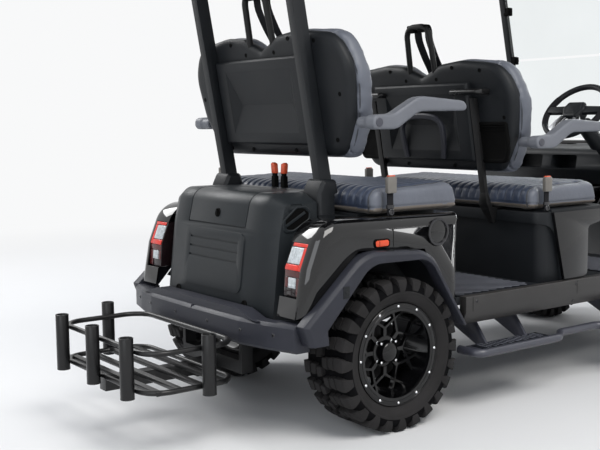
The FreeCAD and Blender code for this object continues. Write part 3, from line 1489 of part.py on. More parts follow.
def make_stay(rows, top):
    """Bent bar from the seat base's rear edge up behind the seat back."""
    base = dim.seat_deck - dim.front_seat_drop
    under = dim.cushion_bottom - dim.front_seat_drop - dim.seat_gap
    foot, rear = fore(dim.pod_rear + 55), fore(dim.pod_rear)
    knee = dim.cushion_bottom - dim.front_seat_drop + 20
    gap, deep = dim.seat_gap, dim.stay_depth
    wide = dim.stay_width / 2
    bar = padded("StayBar", "YZ", [
        (foot, base), (back_front_y(base, rows) + deep, base),
        (back_front_y(top + 16, rows) + deep, top + 16), (back_front_y(top + 16, rows) + gap, top + 16),
        (back_front_y(knee, rows) + gap, knee),
        (back_front_y(knee, rows) - 10, under), (foot, under),
    ], dim.stay_x - wide, dim.stay_x + wide)
    crown = base + 75
    block = padded("StayBlock", "YZ", [
        (foot, base), (rear + gap, base), (rear + gap, base - 60), (rear + 12, base - 60),
        (back_front_y(base, rows) + deep + 12, base + 26), (back_front_y(crown, rows) + deep + 1, crown),
        (back_front_y(crown, rows) + gap, crown), (back_front_y(knee, rows) + gap, knee),
        (back_front_y(knee, rows) - 10, under), (foot, under),
    ], dim.stay_x - 26, dim.stay_x + 26)
    taper = padded("StayTaper", "XZ", [
        (dim.stay_x - 12, base - 61), (dim.stay_x + 12, base - 61), (dim.stay_x + 26, base + 20),
        (dim.stay_x + wide, crown + 1), (dim.stay_x - wide, crown + 1), (dim.stay_x - 26, base + 20),
    ], foot - 5, rear + 120)
    return fuse("Stay", bar, common("StayFoot", block, taper))


def make_buckles():
    """Belt buckles on their stalks outside the cushions, and latches between the places."""
    gap = dim.seat_gap
    deck, pod = dim.seat_deck, dim.seat_deck - dim.front_seat_drop
    pieces = []
    for name, rows, base in (("rear", 0, deck + 3.1), ("front", 1, pod)):
        z = base + gap
        y = aft(0) - dim.seat_pitch * rows
        stalk = box("Stalk" + name, (dim.cushion_half + 3, dim.cushion_half + 10),
                    (y - 14, y + 14), (z, z + 90))
        head = box("BuckleHead" + name, (dim.cushion_half + 1, dim.cushion_half + 21),
                   (y - 22, y + 22), (z + 90, z + 150))
        buckle = fuse("Buckle" + name, stalk, head)
        pieces += [buckle, mirrored("BuckleTwin" + name, buckle)]
    latch = box("Latch", (18, 46), (aft(82), aft(104)), (deck + gap, deck + 74))
    pieces += [latch, mirrored("LatchTwin", latch)]
    return node("buckles", group("Buckles", *pieces))


# Rack on the hitch
# The rack's rear rail and side rails lie against the rod holders
rack_clear = dim.holder_od / 2 + dim.rack_tube / 2 + dim.seat_gap
rack_rear = aft(dim.rack_row) - rack_clear


def rack_loop(name, z):
    half, front = dim.rack_half, aft(dim.rack_front)
    return rail(name, [
        (-half, front, z), (half, front, z), (half, rack_rear, z), (-half, rack_rear, z),
    ], dim.rack_tube, dim.rack_corner, closed=True)


def make_rack():
    """Cargo rack: the floor on its hitch bar, the upper rail and five rod holders."""
    half = dim.rack_half
    pieces = [rack_loop("RackLoop", dim.rail_low)]
    for y in (600, 690, 780, 860):
        pieces.append(box("RackBar", (-half, half), (aft(y) - 12, aft(y) + 12),
                          (dim.rail_low - 8, dim.rail_low + 6)))
    bar = box("HitchBar", (-dim.hitch_bar / 2, dim.hitch_bar / 2), (aft(450), rack_rear),
              (dim.rail_low - dim.hitch_bar - 6, dim.rail_low - 6))
    node("cargo_rack", fuse("CargoRack", *pieces, bar))
    node("rack_rail", rack_loop("RackRail", dim.rail_high))
    holders = [(x, dim.rack_row) for x in (-dim.holder_pitch, sized(0), dim.holder_pitch)]
    holders += [(-half - rack_clear, dim.side_holder_y), (half + rack_clear, dim.side_holder_y)]
    tubes = []
    for x, y in holders:
        length = dim.holder_top - dim.holder_bottom
        tube = cylinder("Holder", "Z", dim.holder_od / 2, (x, aft(y), dim.holder_bottom), length)
        bore = cylinder("HolderBore", "Z", dim.holder_od / 2 - dim.holder_wall,
                        (x, aft(y), dim.holder_bottom - 1), length + 2)
        tubes.append(cut("RodHolder", tube, bore))
    return node("rod_holders", group("RodHolders", *tubes))


def make_receiver():
    """Square receiver tube hung from the frame's tail."""
    inner = dim.hitch_bar / 2 + 0.5
    outer = inner + dim.receiver_wall
    z = dim.rail_low - 6 - dim.hitch_bar / 2
    front, rear = aft(385), aft(520)
    tube = box("ReceiverTube", (-outer, outer), (front, rear), (z - outer, z + outer))
    beam = box("ReceiverBeam", (-dim.rail_x - 40, dim.rail_x + 40), (front, front + 50),
               (z + outer - 30, z + outer + 20))
    pieces = [tube, beam]
    for side in (-1, 1):
        x = dim.rail_x + 20 if side > 0 else -dim.rail_x - 40
        pieces.append(box("ReceiverDrop", (x, x + 20), (front, front + 50), (z + outer, frame_bottom)))
    bore = box("ReceiverBore", (-inner, inner), (front - 1, rear + 1), (z - inner, z + inner))
    return cut("HitchReceiver", fuse("ReceiverSolid", *pieces), bore)


def make_steps():
    """Tubular side steps with their plates and brackets."""
    x, z = dim.step_out, dim.step_height
    inner = x - 110
    bar = rail("StepRail", [
        (inner, fore(400), z), (x, fore(400), z), (x, fore(880), z), (inner + 50, fore(960), z),
        (inner + 50, fore(1200), z), (x, fore(1280), z), (x, fore(1700), z), (inner, fore(1700), z),
    ], dim.step_tube, 40)
    pieces = [bar]
    for y0, y1 in ((430, 850), (1310, 1670)):
        pieces.append(box("StepPlate", (inner + 6, x), (fore(y1), fore(y0)), (z - 4, z + 10)))
        for y in (y0 + 90, y1 - 90):
            pieces.append(padded("StepBracket", "XZ", [
                (rail_out, frame_bottom + 10), (rail_out, frame_bottom + 50),
                (inner - 40, frame_bottom - 10), (inner + 40, z + 8), (inner + 40, z - 3),
                (inner - 10, z - 3),
            ], fore(y) - 6, fore(y) + 6))
    return node("steps", pair("Steps", fuse("StepSide", *pieces)))


# Steering
def column_point(distance):
    """Point on the column's line, from the steering wheel's centre towards the front."""
    tilt = math.radians(float(dim.column_tilt))
    return (sized(dim.steer_x), fore(dim.wheel_centre_y) - distance * math.cos(tilt),
            dim.wheel_centre_z - distance * math.sin(tilt))


def along_column(name, radius, start, length):
    bar = cylinder(name, "Z", radius, column_point(start), length)
    tilt = float(dim.column_tilt)
    bar.Placement.Rotation = FreeCAD.Rotation(FreeCAD.Vector(1, 0, 0), 90 + tilt)
    return bar


def make_steering():
    column = along_column("ColumnTube", dim.column_od / 2, 40, 330)
    shroud = along_column("ColumnShroud", 38, 90, 150)
    node("steering_column", fuse("SteeringColumn", column, shroud))
    ring = doc.addObject("Part::Torus", "SteeringRing")
    bind(ring, "Radius1", dim.steering_od / 2 - 14)
    bind(ring, "Radius2", 14)
    place(ring, *column_point(0))
    tilt = float(dim.column_tilt)
    ring.Placement.Rotation = FreeCAD.Rotation(FreeCAD.Vector(1, 0, 0), 90 + tilt)
    hub = along_column("SteeringHub", 44, -2, 41.5)
    reach = dim.steering_od / 2 - 14
    spokes = []
    for angle in (0, 180, 270):
        spoke = doc.addObject("Part::Box", "SteeringSpoke")
        bind(spoke, "Length", reach)
        bind(spoke, "Width", 30)
        bind(spoke, "Height", 10)
        base = FreeCAD.Placement(vector(*column_point(0)), ring.Placement.Rotation)
        swing = FreeCAD.Placement(FreeCAD.Vector(), FreeCAD.Rotation(FreeCAD.Vector(0, 0, 1), angle))
        corner = FreeCAD.Placement(FreeCAD.Vector(0, -15, 0), FreeCAD.Rotation())
        spoke.Placement = base.multiply(swing).multiply(corner)
        spokes.append(spoke)
    node("steering_wheel", fuse("SteeringWheel", ring, hub, *spokes))
    z = axle_z - dim.kingpin_boss_height / 2 - 1 - dim.ear_thickness - 0.5 - dim.tie_rod_od / 2
    y = front_axle_y + dim.steer_arm
    rod = cylinder("TieRod", "X", dim.tie_rod_od / 2, (-dim.kingpin_x, y, z), dim.kingpin_x * 2)
    node("tie_rod", rod)
    pedal = padded("Pedals", "YZ", [
        (fore(1780), 500), (fore(1772), 500), (fore(1800), 600), (fore(1889.7), 692), (fore(1889.7), 684),
        (fore(1808), 594),
    ], -330, -270)
    node("pedals", pedal)


def make_mirrors():
    head = box("MirrorHead", (560, 700), (pillar_y(1300) - 60, pillar_y(1300) - 30), (1260, 1350))
    arm = box("MirrorArm", (dim.pillar_x + 16, 600), (pillar_y(1300) - 30, pillar_y(1300) - 14),
              (1296, 1312))
    return node("mirrors", pair("Mirrors", fuse("Mirror", head, arm)))


make_wheels()
for side in (1, -1):
    make_knuckle(side)
make_front_axle()
make_rear_axle()
make_springs()
make_front_dampers()
make_frame()
make_floor()
make_sills()
make_rear_fenders()
make_rear_pod()
bustle, bustle_outer, bustle_inner = make_bustle()
make_hatch(bustle_outer, bustle_inner)
make_rear_bumper()
make_tail_lamps()
make_side_trim()
make_rear_struts()
make_roof()
make_front_pillars()
make_windscreen()
make_front_cowl()
make_flares()
make_front_bumper()
make_headlamps()
make_grille()
make_dash()
make_front_pod()
for name, rows in ROWS:
    make_cushion(name, rows)
    make_seat_back(name, rows)
    for side in (1, -1):
        make_armrest(name, rows, side)
make_seat_frames()
make_buckles()
make_rack()
make_steps()
make_steering()
make_mirrors()
doc.recompute()

for thing in doc.Objects:
    if "Invalid" in thing.State or "Error" in thing.State:
        raise RuntimeError("failed object: " + thing.Name)
os.makedirs("parts", exist_ok=True)
for label, thing in NODES.items():
    shape = thing.Shape
    if shape.isNull() or not shape.isValid() or not shape.Solids:
        raise RuntimeError("bad shape: " + label)
    print("%-22s solids %2d volume %10.0f" % (label, len(shape.Solids), shape.Volume / 1000))
    shape.exportStep("parts/" + label + ".step")
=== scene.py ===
import json
import math

import bmesh
import bpy
import numpy as np
from mathutils import Matrix, Vector
from mathutils.bvhtree import BVHTree


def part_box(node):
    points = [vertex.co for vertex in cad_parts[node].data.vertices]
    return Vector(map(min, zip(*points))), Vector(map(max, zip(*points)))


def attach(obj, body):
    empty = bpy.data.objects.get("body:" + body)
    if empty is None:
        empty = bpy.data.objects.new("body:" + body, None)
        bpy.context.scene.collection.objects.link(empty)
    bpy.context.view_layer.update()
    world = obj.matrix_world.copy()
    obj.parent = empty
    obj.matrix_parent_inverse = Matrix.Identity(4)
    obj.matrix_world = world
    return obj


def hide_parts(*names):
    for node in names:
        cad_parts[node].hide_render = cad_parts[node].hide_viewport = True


# Lifted four-seat golf cart in a pale studio. Metres, +Z up, the front faces -Y,
# the cart's left side is +X.

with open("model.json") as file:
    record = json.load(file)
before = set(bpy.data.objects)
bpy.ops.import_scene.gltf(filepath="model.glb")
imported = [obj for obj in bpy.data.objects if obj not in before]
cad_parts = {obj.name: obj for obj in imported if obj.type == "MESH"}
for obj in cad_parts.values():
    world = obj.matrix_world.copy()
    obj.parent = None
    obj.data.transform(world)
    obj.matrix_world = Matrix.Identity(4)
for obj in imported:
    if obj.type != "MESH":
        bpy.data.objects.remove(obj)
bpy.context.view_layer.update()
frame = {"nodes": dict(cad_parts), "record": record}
nodes = frame["nodes"]

# Camera of the photograph: place, yaw from the rear, pitch and roll, and focal length in pixels
CAMERA_PLACE = (-3.2996, 3.2904, 1.1567)
CAMERA_YAW, CAMERA_PITCH, CAMERA_ROLL = 53.46, -5.99, -0.59
FOCAL_PIXELS, IMAGE_WIDTH = 990.1, 600.0
UP = Vector((0, 0, 1))
LEFT, RIGHT = Vector((1, 0, 0)), Vector((-1, 0, 0))
BACKWARD, FORWARD = Vector((0, 1, 0)), Vector((0, -1, 0))


def link(thing):
    bpy.context.scene.collection.objects.link(thing)
    return thing


def aim_camera():
    yaw, pitch, roll = (math.radians(a) for a in (CAMERA_YAW, CAMERA_PITCH, CAMERA_ROLL))
    ahead = Vector((math.sin(yaw) * math.cos(pitch), -math.cos(yaw) * math.cos(pitch), math.sin(pitch)))
    right = ahead.cross(UP).normalized()
    up = right.cross(ahead)
    level_right = right * math.cos(roll) + up * math.sin(roll)
    level_up = up * math.cos(roll) - right * math.sin(roll)
    camera = link(bpy.data.objects.new("Camera", bpy.data.cameras.new("Camera")))
    camera.data.lens = FOCAL_PIXELS / IMAGE_WIDTH * camera.data.sensor_width
    turn = Matrix((level_right, level_up, -ahead)).transposed()
    camera.matrix_world = Matrix.Translation(CAMERA_PLACE) @ turn.to_4x4()
    camera.data.clip_end = 200
    bpy.context.scene.camera = camera


aim_camera()
bpy.context.scene.view_settings.view_transform = "Standard"


# Materials
def put(tree, kind, **inputs):
    """New node; each input is a plain value or another node's output."""
    made = tree.nodes.new(kind)
    for label, value in inputs.items():
        socket = made.inputs[label.replace("_", " ")]
        if isinstance(value, bpy.types.NodeSocket):
            tree.links.new(value, socket)
        else:
            socket.default_value = value
    return made


def place_in(tree):
    """Output of the tree's one node of object coordinates."""
    place = tree.nodes.get("Place")
    if place is None:
        place = tree.nodes.new("ShaderNodeTexCoord")
        place.name = "Place"
    return place.outputs["Object"]


def add_noise(tree, scale, detail=2.0, rough=0.55):
    noise = put(tree, "ShaderNodeTexNoise", Vector=place_in(tree), Scale=scale, Detail=detail,
                Roughness=rough)
    return noise.outputs["Fac"]


def add_bump(tree, height, depth, normal=None):
    bump = put(tree, "ShaderNodeBump", Height=height, Distance=depth, Strength=1.0)
    if normal is not None:
        tree.links.new(normal, bump.inputs["Normal"])
    return bump.outputs["Normal"]


# The middle range of a noise, which the patches of a surface use
PATCH_LOW, PATCH_HIGH = 0.3, 0.7


def shade(name, colour, roughness, metallic=0.0, coat=0.0, mirror=0.5, vary=0.15, patch=6.0,
          spread_rough=0.06, grain=0.0, grain_depth=0.00015, wave=0.0, wave_depth=0.0006, **sockets):
    """Surface with patchy colour and gloss, a fine grain and a broad unevenness."""
    surface = bpy.data.materials.new(name)
    surface.use_nodes = True
    tree = surface.node_tree
    shader = tree.nodes["Principled BSDF"]
    sockets.update(Metallic=metallic, Specular_IOR_Level=mirror, Coat_Weight=coat, Coat_Roughness=0.03)
    for socket, value in sockets.items():
        shader.inputs[socket.replace("_", " ")].default_value = value
    patches = add_noise(tree, patch, 4.0)
    ramp = put(tree, "ShaderNodeValToRGB", Fac=patches)
    for stop, position, share in zip(ramp.color_ramp.elements, (PATCH_LOW, PATCH_HIGH),
                                     (1 - vary, 1 + vary)):
        stop.position = position
        stop.color = (*(min(1.0, c * share) for c in colour), 1)
    tree.links.new(ramp.outputs["Color"], shader.inputs["Base Color"])
    rough = put(tree, "ShaderNodeMapRange", Value=patches, From_Min=PATCH_LOW, From_Max=PATCH_HIGH,
                To_Min=max(0.02, roughness - spread_rough), To_Max=roughness + spread_rough)
    tree.links.new(rough.outputs["Result"], shader.inputs["Roughness"])
    normal = None
    if wave:
        normal = add_bump(tree, add_noise(tree, wave), wave_depth)
    if grain:
        normal = add_bump(tree, add_noise(tree, grain, rough=0.7), grain_depth, normal)
    if normal is not None:
        tree.links.new(normal, shader.inputs["Normal"])
    return surface


def leather(name, colour, roughness, cell=420.0, depth=0.0003):
    """Vinyl: pebbled cells, soft creases and a slight sheen."""
    surface = shade(name, colour, roughness, patch=5.0, vary=0.1, spread_rough=0.08,
                    Sheen_Weight=0.15, Sheen_Roughness=0.4)
    tree = surface.node_tree
    pebbles = put(tree, "ShaderNodeTexVoronoi", Vector=place_in(tree), Scale=cell)
    creases = add_bump(tree, add_noise(tree, 14.0, 3.0), 0.003)
    normal = add_bump(tree, pebbles.outputs["Distance"], depth, creases)
    tree.links.new(normal, tree.nodes["Principled BSDF"].inputs["Normal"])
    return surface


def moulding(name, colour, roughness, **more):
    """Grained plastic that reflects little."""
    return shade(name, colour, roughness, **{"vary": 0.12, "grain": 1500.0, "mirror": 0.25, **more})


def lens(name, colour, roughness, patch, **more):
    return shade(name, colour, roughness, patch=patch, grain=300.0,
                 **{"coat": 0.35, "mirror": 0.25, **more})


TYRE = shade("tyre_rubber", (0.018, 0.0172, 0.0175), 0.74, vary=0.3, patch=9.0, grain=900.0,
             grain_depth=0.0003, wave=60.0, wave_depth=0.0004, mirror=0.15)
# Near-black tyre rubber for the carcass out at the tread, between the blocks: painted shade in the grooves
GROOVE_SHADE = shade("tyre_groove_shade", (0.0035, 0.0035, 0.004), 0.85, vary=0.2, patch=20.0, mirror=0.05)
RIM = shade("rim_gloss", (0.003, 0.003, 0.0035), 0.14, coat=0.3, vary=0.2, wave=30.0,
            wave_depth=0.0001, mirror=0.25)
CHASSIS = shade("chassis_coat", (0.009, 0.009, 0.0095), 0.5, vary=0.3, grain=1500.0, wave=40.0,
                wave_depth=0.0003, mirror=0.25)
RACK = shade("rack_coat", (0.007, 0.007, 0.0075), 0.32, vary=0.25, grain=2200.0, grain_depth=0.0001,
             mirror=0.35)
STEP = shade("step_coat", (0.042, 0.044, 0.058), 0.34, vary=0.12, patch=8.0, grain=1600.0, mirror=0.6)
MOULDED = moulding("body_moulding", (0.011, 0.0125, 0.0145), 0.46, grain_depth=0.00022, mirror=0.2)
BUSTLE = moulding("bustle_moulding", (0.0145, 0.0175, 0.02), 0.42, vary=0.1, grain_depth=0.0002,
                  mirror=0.22)
FLARE = moulding("flare_moulding", (0.024, 0.0255, 0.034), 0.44, grain_depth=0.0002)
SILL = moulding("sill_moulding", (0.03, 0.0285, 0.028), 0.37, patch=5.0, mirror=0.4)
ROOF = moulding("roof_moulding", (0.009, 0.009, 0.0095), 0.4, vary=0.05, spread_rough=0.01,
                grain=1200.0)
GLOSS = shade("panel_gloss", (0.003, 0.003, 0.0035), 0.05, coat=0.55, mirror=0.3, vary=0.2, patch=3.0,
              spread_rough=0.02, wave=9.0, wave_depth=0.0004)
CHROME = shade("chrome", (0.75, 0.76, 0.78), 0.09, metallic=1.0, vary=0.05, grain=400.0,
               grain_depth=0.00003)
SMOKED = shade("smoked_chrome", (0.035, 0.035, 0.038), 0.12, metallic=0.9, coat=0.5, vary=0.1,
               grain=400.0, grain_depth=0.00003)
SATIN = shade("satin_metal", (0.42, 0.43, 0.45), 0.28, metallic=1.0, vary=0.08, grain=900.0,
              grain_depth=0.00005)
GLASS = shade("mirror_glass", (0.8, 0.82, 0.83), 0.03, metallic=1.0, vary=0.03, patch=4.0,
              spread_rough=0.01)
PANE = shade("pane", (0.9, 0.93, 0.93), 0.02, vary=0.02, patch=2.0, spread_rough=0.01,
             Transmission_Weight=1.0, IOR=1.1)
SLATE = leather("seat_slate", (0.032, 0.044, 0.075), 0.42)
GREY = leather("seat_grey", (0.105, 0.115, 0.14), 0.45)
TRIM = leather("seat_trim", (0.115, 0.098, 0.082), 0.5, 700.0, 0.0002)
PIPING = leather("seat_piping", (0.028, 0.032, 0.04), 0.5, 900.0, 0.0001)
ARMREST = shade("armrest_skin", (0.13, 0.138, 0.158), 0.5, vary=0.06, grain=700.0, grain_depth=0.0002)
STRAP = shade("belt_webbing", (0.012, 0.012, 0.014), 0.75, vary=0.2, patch=40.0, grain=1400.0,
              grain_depth=0.0004, mirror=0.1)
BUCKLE = shade("buckle_shell", (0.15, 0.14, 0.125), 0.4, vary=0.1, patch=30.0, grain=1200.0)
BUTTON = shade("buckle_button", (0.72, 0.09, 0.025), 0.35, vary=0.1, patch=40.0, grain=900.0)
RED = lens("lens_red", (0.7, 0.035, 0.022), 0.14, 40.0, vary=0.1)
MAROON = lens("lens_maroon", (0.085, 0.014, 0.014), 0.14, 50.0)
LAMP_DARK = lens("lamp_housing", (0.014, 0.008, 0.009), 0.12, 30.0, coat=0.4, vary=0.2)
ORANGE = lens("lens_orange", (0.75, 0.085, 0.03), 0.2, 30.0, coat=0.3, vary=0.08)
LENS = shade("lens_clear", (0.5, 0.54, 0.56), 0.1, coat=0.5, vary=0.25, patch=70.0, grain=200.0)
# Near-black: painted shadow along the panel seams and in the housing pockets' floors, and the colour of
# the small black fittings
SEAM = shade("seam_shadow", (0.002, 0.002, 0.002), 0.8, vary=0.2, patch=20.0, grain=600.0, mirror=0.08)
MAT = shade("mat_rubber", (0.008, 0.009, 0.012), 0.55, vary=0.2, patch=8.0, grain=1000.0,
            grain_depth=0.0003, mirror=0.08)
# Lighter ribs of the mats and the step treads: painted highlight on the same dark rubber
MAT_RIB_HIGHLIGHT = shade("mat_ribs_highlight", (0.12, 0.126, 0.15), 0.4, patch=10.0, grain=1000.0)

SURFACES = {
    "tyre": TYRE, "rim_black": RIM, "chassis_black": CHASSIS, "body_matte": MOULDED,
    "bustle_grey": BUSTLE, "flare_matte": FLARE, "body_gloss": GLOSS, "lamp_red": LAMP_DARK,
    "marker_orange": ORANGE, "lamp_clear": LENS, "chrome": SMOKED, "roof_black": ROOF,
    "clear_pane": PANE, "seat_slate": SLATE, "seat_grey": GREY, "armrest_grey": ARMREST,
    "rack_black": RACK,
}
# Nodes whose surface differs from that of their slot
OWN_SURFACES = {"rear_bumper": FLARE, "front_bumper": FLARE, "steps": STEP, "sills": SILL}
# Width of the softened edges for each slot, where it isn't the usual one
BEVELS = {"body_gloss": 0.003, "bustle_grey": 0.003, "flare_matte": 0.0025, "armrest_grey": 0.004,
          "roof_black": 0.004}
BEVEL = 0.0015
SHARP = math.radians(32)


# Shading: joined facets, softened edges, smooth curves up to the sharp angle
def smooth_group():
    group = bpy.data.node_groups.new("SmoothCurves", "GeometryNodeTree")
    for flow in ("INPUT", "OUTPUT"):
        group.interface.new_socket("Geometry", in_out=flow, socket_type="NodeSocketGeometry")
    start = put(group, "NodeGroupInput")
    faces = put(group, "GeometryNodeSetShadeSmooth", Geometry=start.outputs[0])
    angle = put(group, "GeometryNodeInputMeshEdgeAngle")
    sharp = put(group, "FunctionNodeCompare")
    sharp.data_type = "FLOAT"
    sharp.operation = "GREATER_THAN"
    sharp.inputs[1].default_value = SHARP
    group.links.new(angle.outputs["Unsigned Angle"], sharp.inputs[0])
    edges = put(group, "GeometryNodeSetShadeSmooth", Geometry=faces.outputs["Geometry"],
                Selection=sharp.outputs["Result"], Shade_Smooth=False)
    edges.domain = "EDGE"
    end = put(group, "NodeGroupOutput")
    group.links.new(edges.outputs["Geometry"], end.inputs[0])
    return group


SMOOTH = smooth_group()


def soften(thing, width, segments=2):
    weld = thing.modifiers.new("Weld", "WELD")
    weld.merge_threshold = 0.00002
    if width:
        bevel = thing.modifiers.new("Edges", "BEVEL")
        bevel.width = width
        bevel.segments = segments
        bevel.limit_method = "ANGLE"
        bevel.angle_limit = SHARP
        bevel.use_clamp_overlap = True
    smooth = thing.modifiers.new("Smooth", "NODES")
    smooth.node_group = SMOOTH


for row in frame["record"]["subparts"]:
    name, slot = row["node"], row["material_slot"]
    mesh = nodes[name].data
    mesh.materials.clear()
    mesh.materials.append(OWN_SURFACES.get(name, SURFACES[slot]))
    soften(nodes[name], BEVELS.get(slot, BEVEL))


# Meshes written point by point
def circle(count):
    """Cosine and sine of evenly spaced angles."""
    return [(math.cos(a), math.sin(a)) for a in (2 * math.pi * k / count for k in range(count))]


def headings(path, closed):
    """Direction of a path at each of its points, from its neighbours."""
    last = len(path) - 1
    if closed:
        return [path[(i + 1) % len(path)] - path[i - 1] for i in range(len(path))]
    return [path[min(i + 1, last)] - path[max(i - 1, 0)] for i in range(len(path))]


class Form:
    """Points and faces of one new piece; a face's mark is the number of its surface."""

    def __init__(self):
        self.points = []
        self.faces = []
        self.marks = []

    def add(self, points, faces, mark=0):
        start = len(self.points)
        self.points += [tuple(point) for point in points]
        self.faces += [tuple(start + i for i in face) for face in faces]
        self.marks += [mark] * len(faces)

    def rings(self, rings, closed=False, foot=True, top=True, mark=0):
        """Skin rings of equally many points; foot and top say whether the ends are capped."""
        count = len(rings[0])
        faces = []
        for i in range(len(rings) if closed else len(rings) - 1):
            near, far = i * count, (i + 1) % len(rings) * count
            for j in range(count):
                k = (j + 1) % count
                faces.append((near + j, near + k, far + k, far + j))
        if foot and not closed:
            faces.append(range(count)[::-1])
        if top and not closed:
            faces.append(range((len(rings) - 1) * count, len(rings) * count))
        self.add([point for ring in rings for point in ring], faces, mark)

    def prism(self, outline, depth, mark=0):
        """Extrude a flat outline by a vector."""
        depth = Vector(depth)
        outline = [Vector(point) for point in outline]
        self.rings([outline, [point + depth for point in outline]], mark=mark)

    def block(self, low, high, mark=0):
        outline = [(low[0], low[1], low[2]), (high[0], low[1], low[2]), (high[0], high[1], low[2]),
                   (low[0], high[1], low[2])]
        self.prism(outline, (0, 0, high[2] - low[2]), mark)

    def lathe(self, origin, axis, profile, sides=24, closed=False):
        """Turn a profile of (radius, height) about an axis."""
        origin, axis = Vector(origin), Vector(axis).normalized()
        across = axis.orthogonal().normalized()
        beside = axis.cross(across)
        self.rings([[origin + axis * height + (across * c + beside * s) * radius for c, s in circle(sides)]
                    for radius, height in profile], closed=closed)

    def hoop(self, origin, axis, radius, thick, height, sides, grain):
        """Ring of round section about an axis."""
        self.lathe(origin, axis, [(radius + thick * c, height + thick * s) for c, s in circle(grain)],
                   sides, closed=True)

    def tube(self, path, radius, sides=12, closed=False):
        path = [Vector(point) for point in path]
        side, rings = None, []
        for point, ahead in zip(path, headings(path, closed)):
            ahead = ahead.normalized()
            side = ahead.orthogonal() if side is None else side
            side = (side - ahead * side.dot(ahead)).normalized()
            up = ahead.cross(side)
            rings.append([point + (side * c + up * s) * radius for c, s in circle(sides)])
        self.rings(rings, closed=closed)

    def ribbon(self, path, normals, width, rise, sink=0.001, closed=False):
        """Band along points on a surface, its edges rounded over."""
        section = ((-1, -sink), (-1, rise / 2), (-0.6, rise), (0.6, rise), (1, rise / 2), (1, -sink))
        rings = []
        for point, normal, ahead in zip(path, normals, headings(path, closed)):
            side = ahead.cross(normal).normalized() * (width / 2)
            rings.append([point + side * across + normal * height for across, height in section])
        self.rings(rings, closed=closed)

    def mirror(self):
        """Add the same form on the other side of the middle plane."""
        count = len(self.points)
        self.points += [(-x, y, z) for x, y, z in self.points]
        self.faces += [tuple(count + i for i in reversed(face)) for face in self.faces]
        self.marks += self.marks
        return self

    def piece(self, name, surfaces, slot, bevel=0.0008, segments=2, body="chassis", replaced=()):
        mesh = bpy.data.meshes.new(name)
        mesh.from_pydata(self.points, [], self.faces)
        for surface in surfaces:
            mesh.materials.append(surface)
        mesh.polygons.foreach_set("material_index", self.marks)
        form = bmesh.new()
        form.from_mesh(mesh)
        bmesh.ops.recalc_face_normals(form, faces=form.faces)
        form.to_mesh(mesh)
        form.free()
        thing = link(bpy.data.objects.new(name, mesh))
        soften(thing, bevel, segments)
        enter(thing, body, replaced)


def enter(thing, body, replaced=()):
    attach(thing, body)
    if replaced:
        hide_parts(*replaced)


# Search trees of the objects' own meshes
TREES = {}


def dropped(thing, start, direction):
    """Point and normal where a line first meets an object's own mesh."""
    if thing.name not in TREES:
        mesh = thing.data
        TREES[thing.name] = BVHTree.FromPolygons([vertex.co.copy() for vertex in mesh.vertices],
                                                 [tuple(face.vertices) for face in mesh.polygons])
    point, normal, _, _ = TREES[thing.name].ray_cast(Vector(start), Vector(direction).normalized())
    if point is None:
        raise ValueError("nothing of %s lies under %s" % (thing.name, tuple(start)))
    return point, normal


def rounded(corners, segments=6):
    """Flat outline (u, v) from corners (u, v, radius), its corners turned to arcs."""
    points = []
    for i, (u, v, radius) in enumerate(corners):
        here = Vector((u, v))
        back = Vector(corners[i - 1][:2]) - here
        ahead = Vector(corners[(i + 1) % len(corners)][:2]) - here
        if not radius:
            points.append(here)
            continue
        half = back.angle(ahead) / 2
        run = min(radius / math.tan(half), back.length * 0.49, ahead.length * 0.49)
        radius = run * math.tan(half)
        middle = here + (back.normalized() + ahead.normalized()).normalized() * (radius / math.sin(half))
        first, last = here + back.normalized() * run - middle, here + ahead.normalized() * run - middle
        sweep = first.angle_signed(last)
        for k in range(segments + 1):
            angle = -sweep * k / segments
            turned = Vector((first.x * math.cos(angle) - first.y * math.sin(angle),
                             first.x * math.sin(angle) + first.y * math.cos(angle)))
            points.append(middle + turned)
    return points


def smoothed(points):
    """Points of a smooth curve through the given ones."""
    curve = []
    for i in range(len(points) - 1):
        p0, p1 = points[max(i - 1, 0)], points[i]
        p2, p3 = points[i + 1], points[min(i + 2, len(points) - 1)]
        for t in (0, 1 / 3, 2 / 3):
            curve.append((p1 * 2 + (p2 - p0) * t + (p0 * 2 - p1 * 5 + p2 * 4 - p3) * t * t
                          + (p1 * 3 - p0 - p2 * 3 + p3) * t * t * t) / 2)
    return curve + [points[-1]]


def side_outline(x, corners):
    """Outline of (y, z) corners in the plane of one x."""
    return [Vector((x, y, z)) for y, z in corners]


def rectangle(u0, v0, u1, v1):
    return (u0, v0), (u1, v0), (u1, v1), (u0, v1)


def on_plane(point, across, up, corners):
    """Outline of (across, up) corners in a plane through a point."""
    return [point + across * a + up * b for a, b in corners]


def add_screw(form, point, normal, radius):
    """Button-headed screw with a hollow."""
    form.lathe(point, normal, ((radius, -0.002), (radius, 0.0012), (radius * 0.75, 0.0026),
                               (radius * 0.42, 0.0028), (radius * 0.38, 0.0012), (0.0004, 0.0012)), 16)


# Wheels: their places, in metres
WHEEL_X, AXLE_Z, FRONT_AXLE_Y, REAR_AXLE_Y = 0.522, 0.29, -1.3165, 0.8535
# Tyres, in millimetres: in place of each of the solid's lugs a shoulder block and two tread blocks
# Carcass faces lying wholly above GROOVE_RADIUS take the painted groove shade
TREAD_RADIUS, GROOVE_RADIUS = 290, 238
LUGS_PER_ROW = 24
CARCASS_SIDES = 96
# Half section of the carcass from the bead to the tread's middle: x from the middle plane, radius
CARCASS = ((86.6, 173), (86.6, 194.6), (90, 195.2), (94, 196.6), (98, 199.4), (100.6, 201.4),
           (102.2, 204.8), (103.4, 205.2), (105.2, 208.4), (110, 216), (113.2, 224), (115, 232),
           (116.4, 233), (117.4, 236), (116.6, 240), (116.6, 250), (114, 261), (107, 268),
           (92, 271), (60, 272), (25, 272))
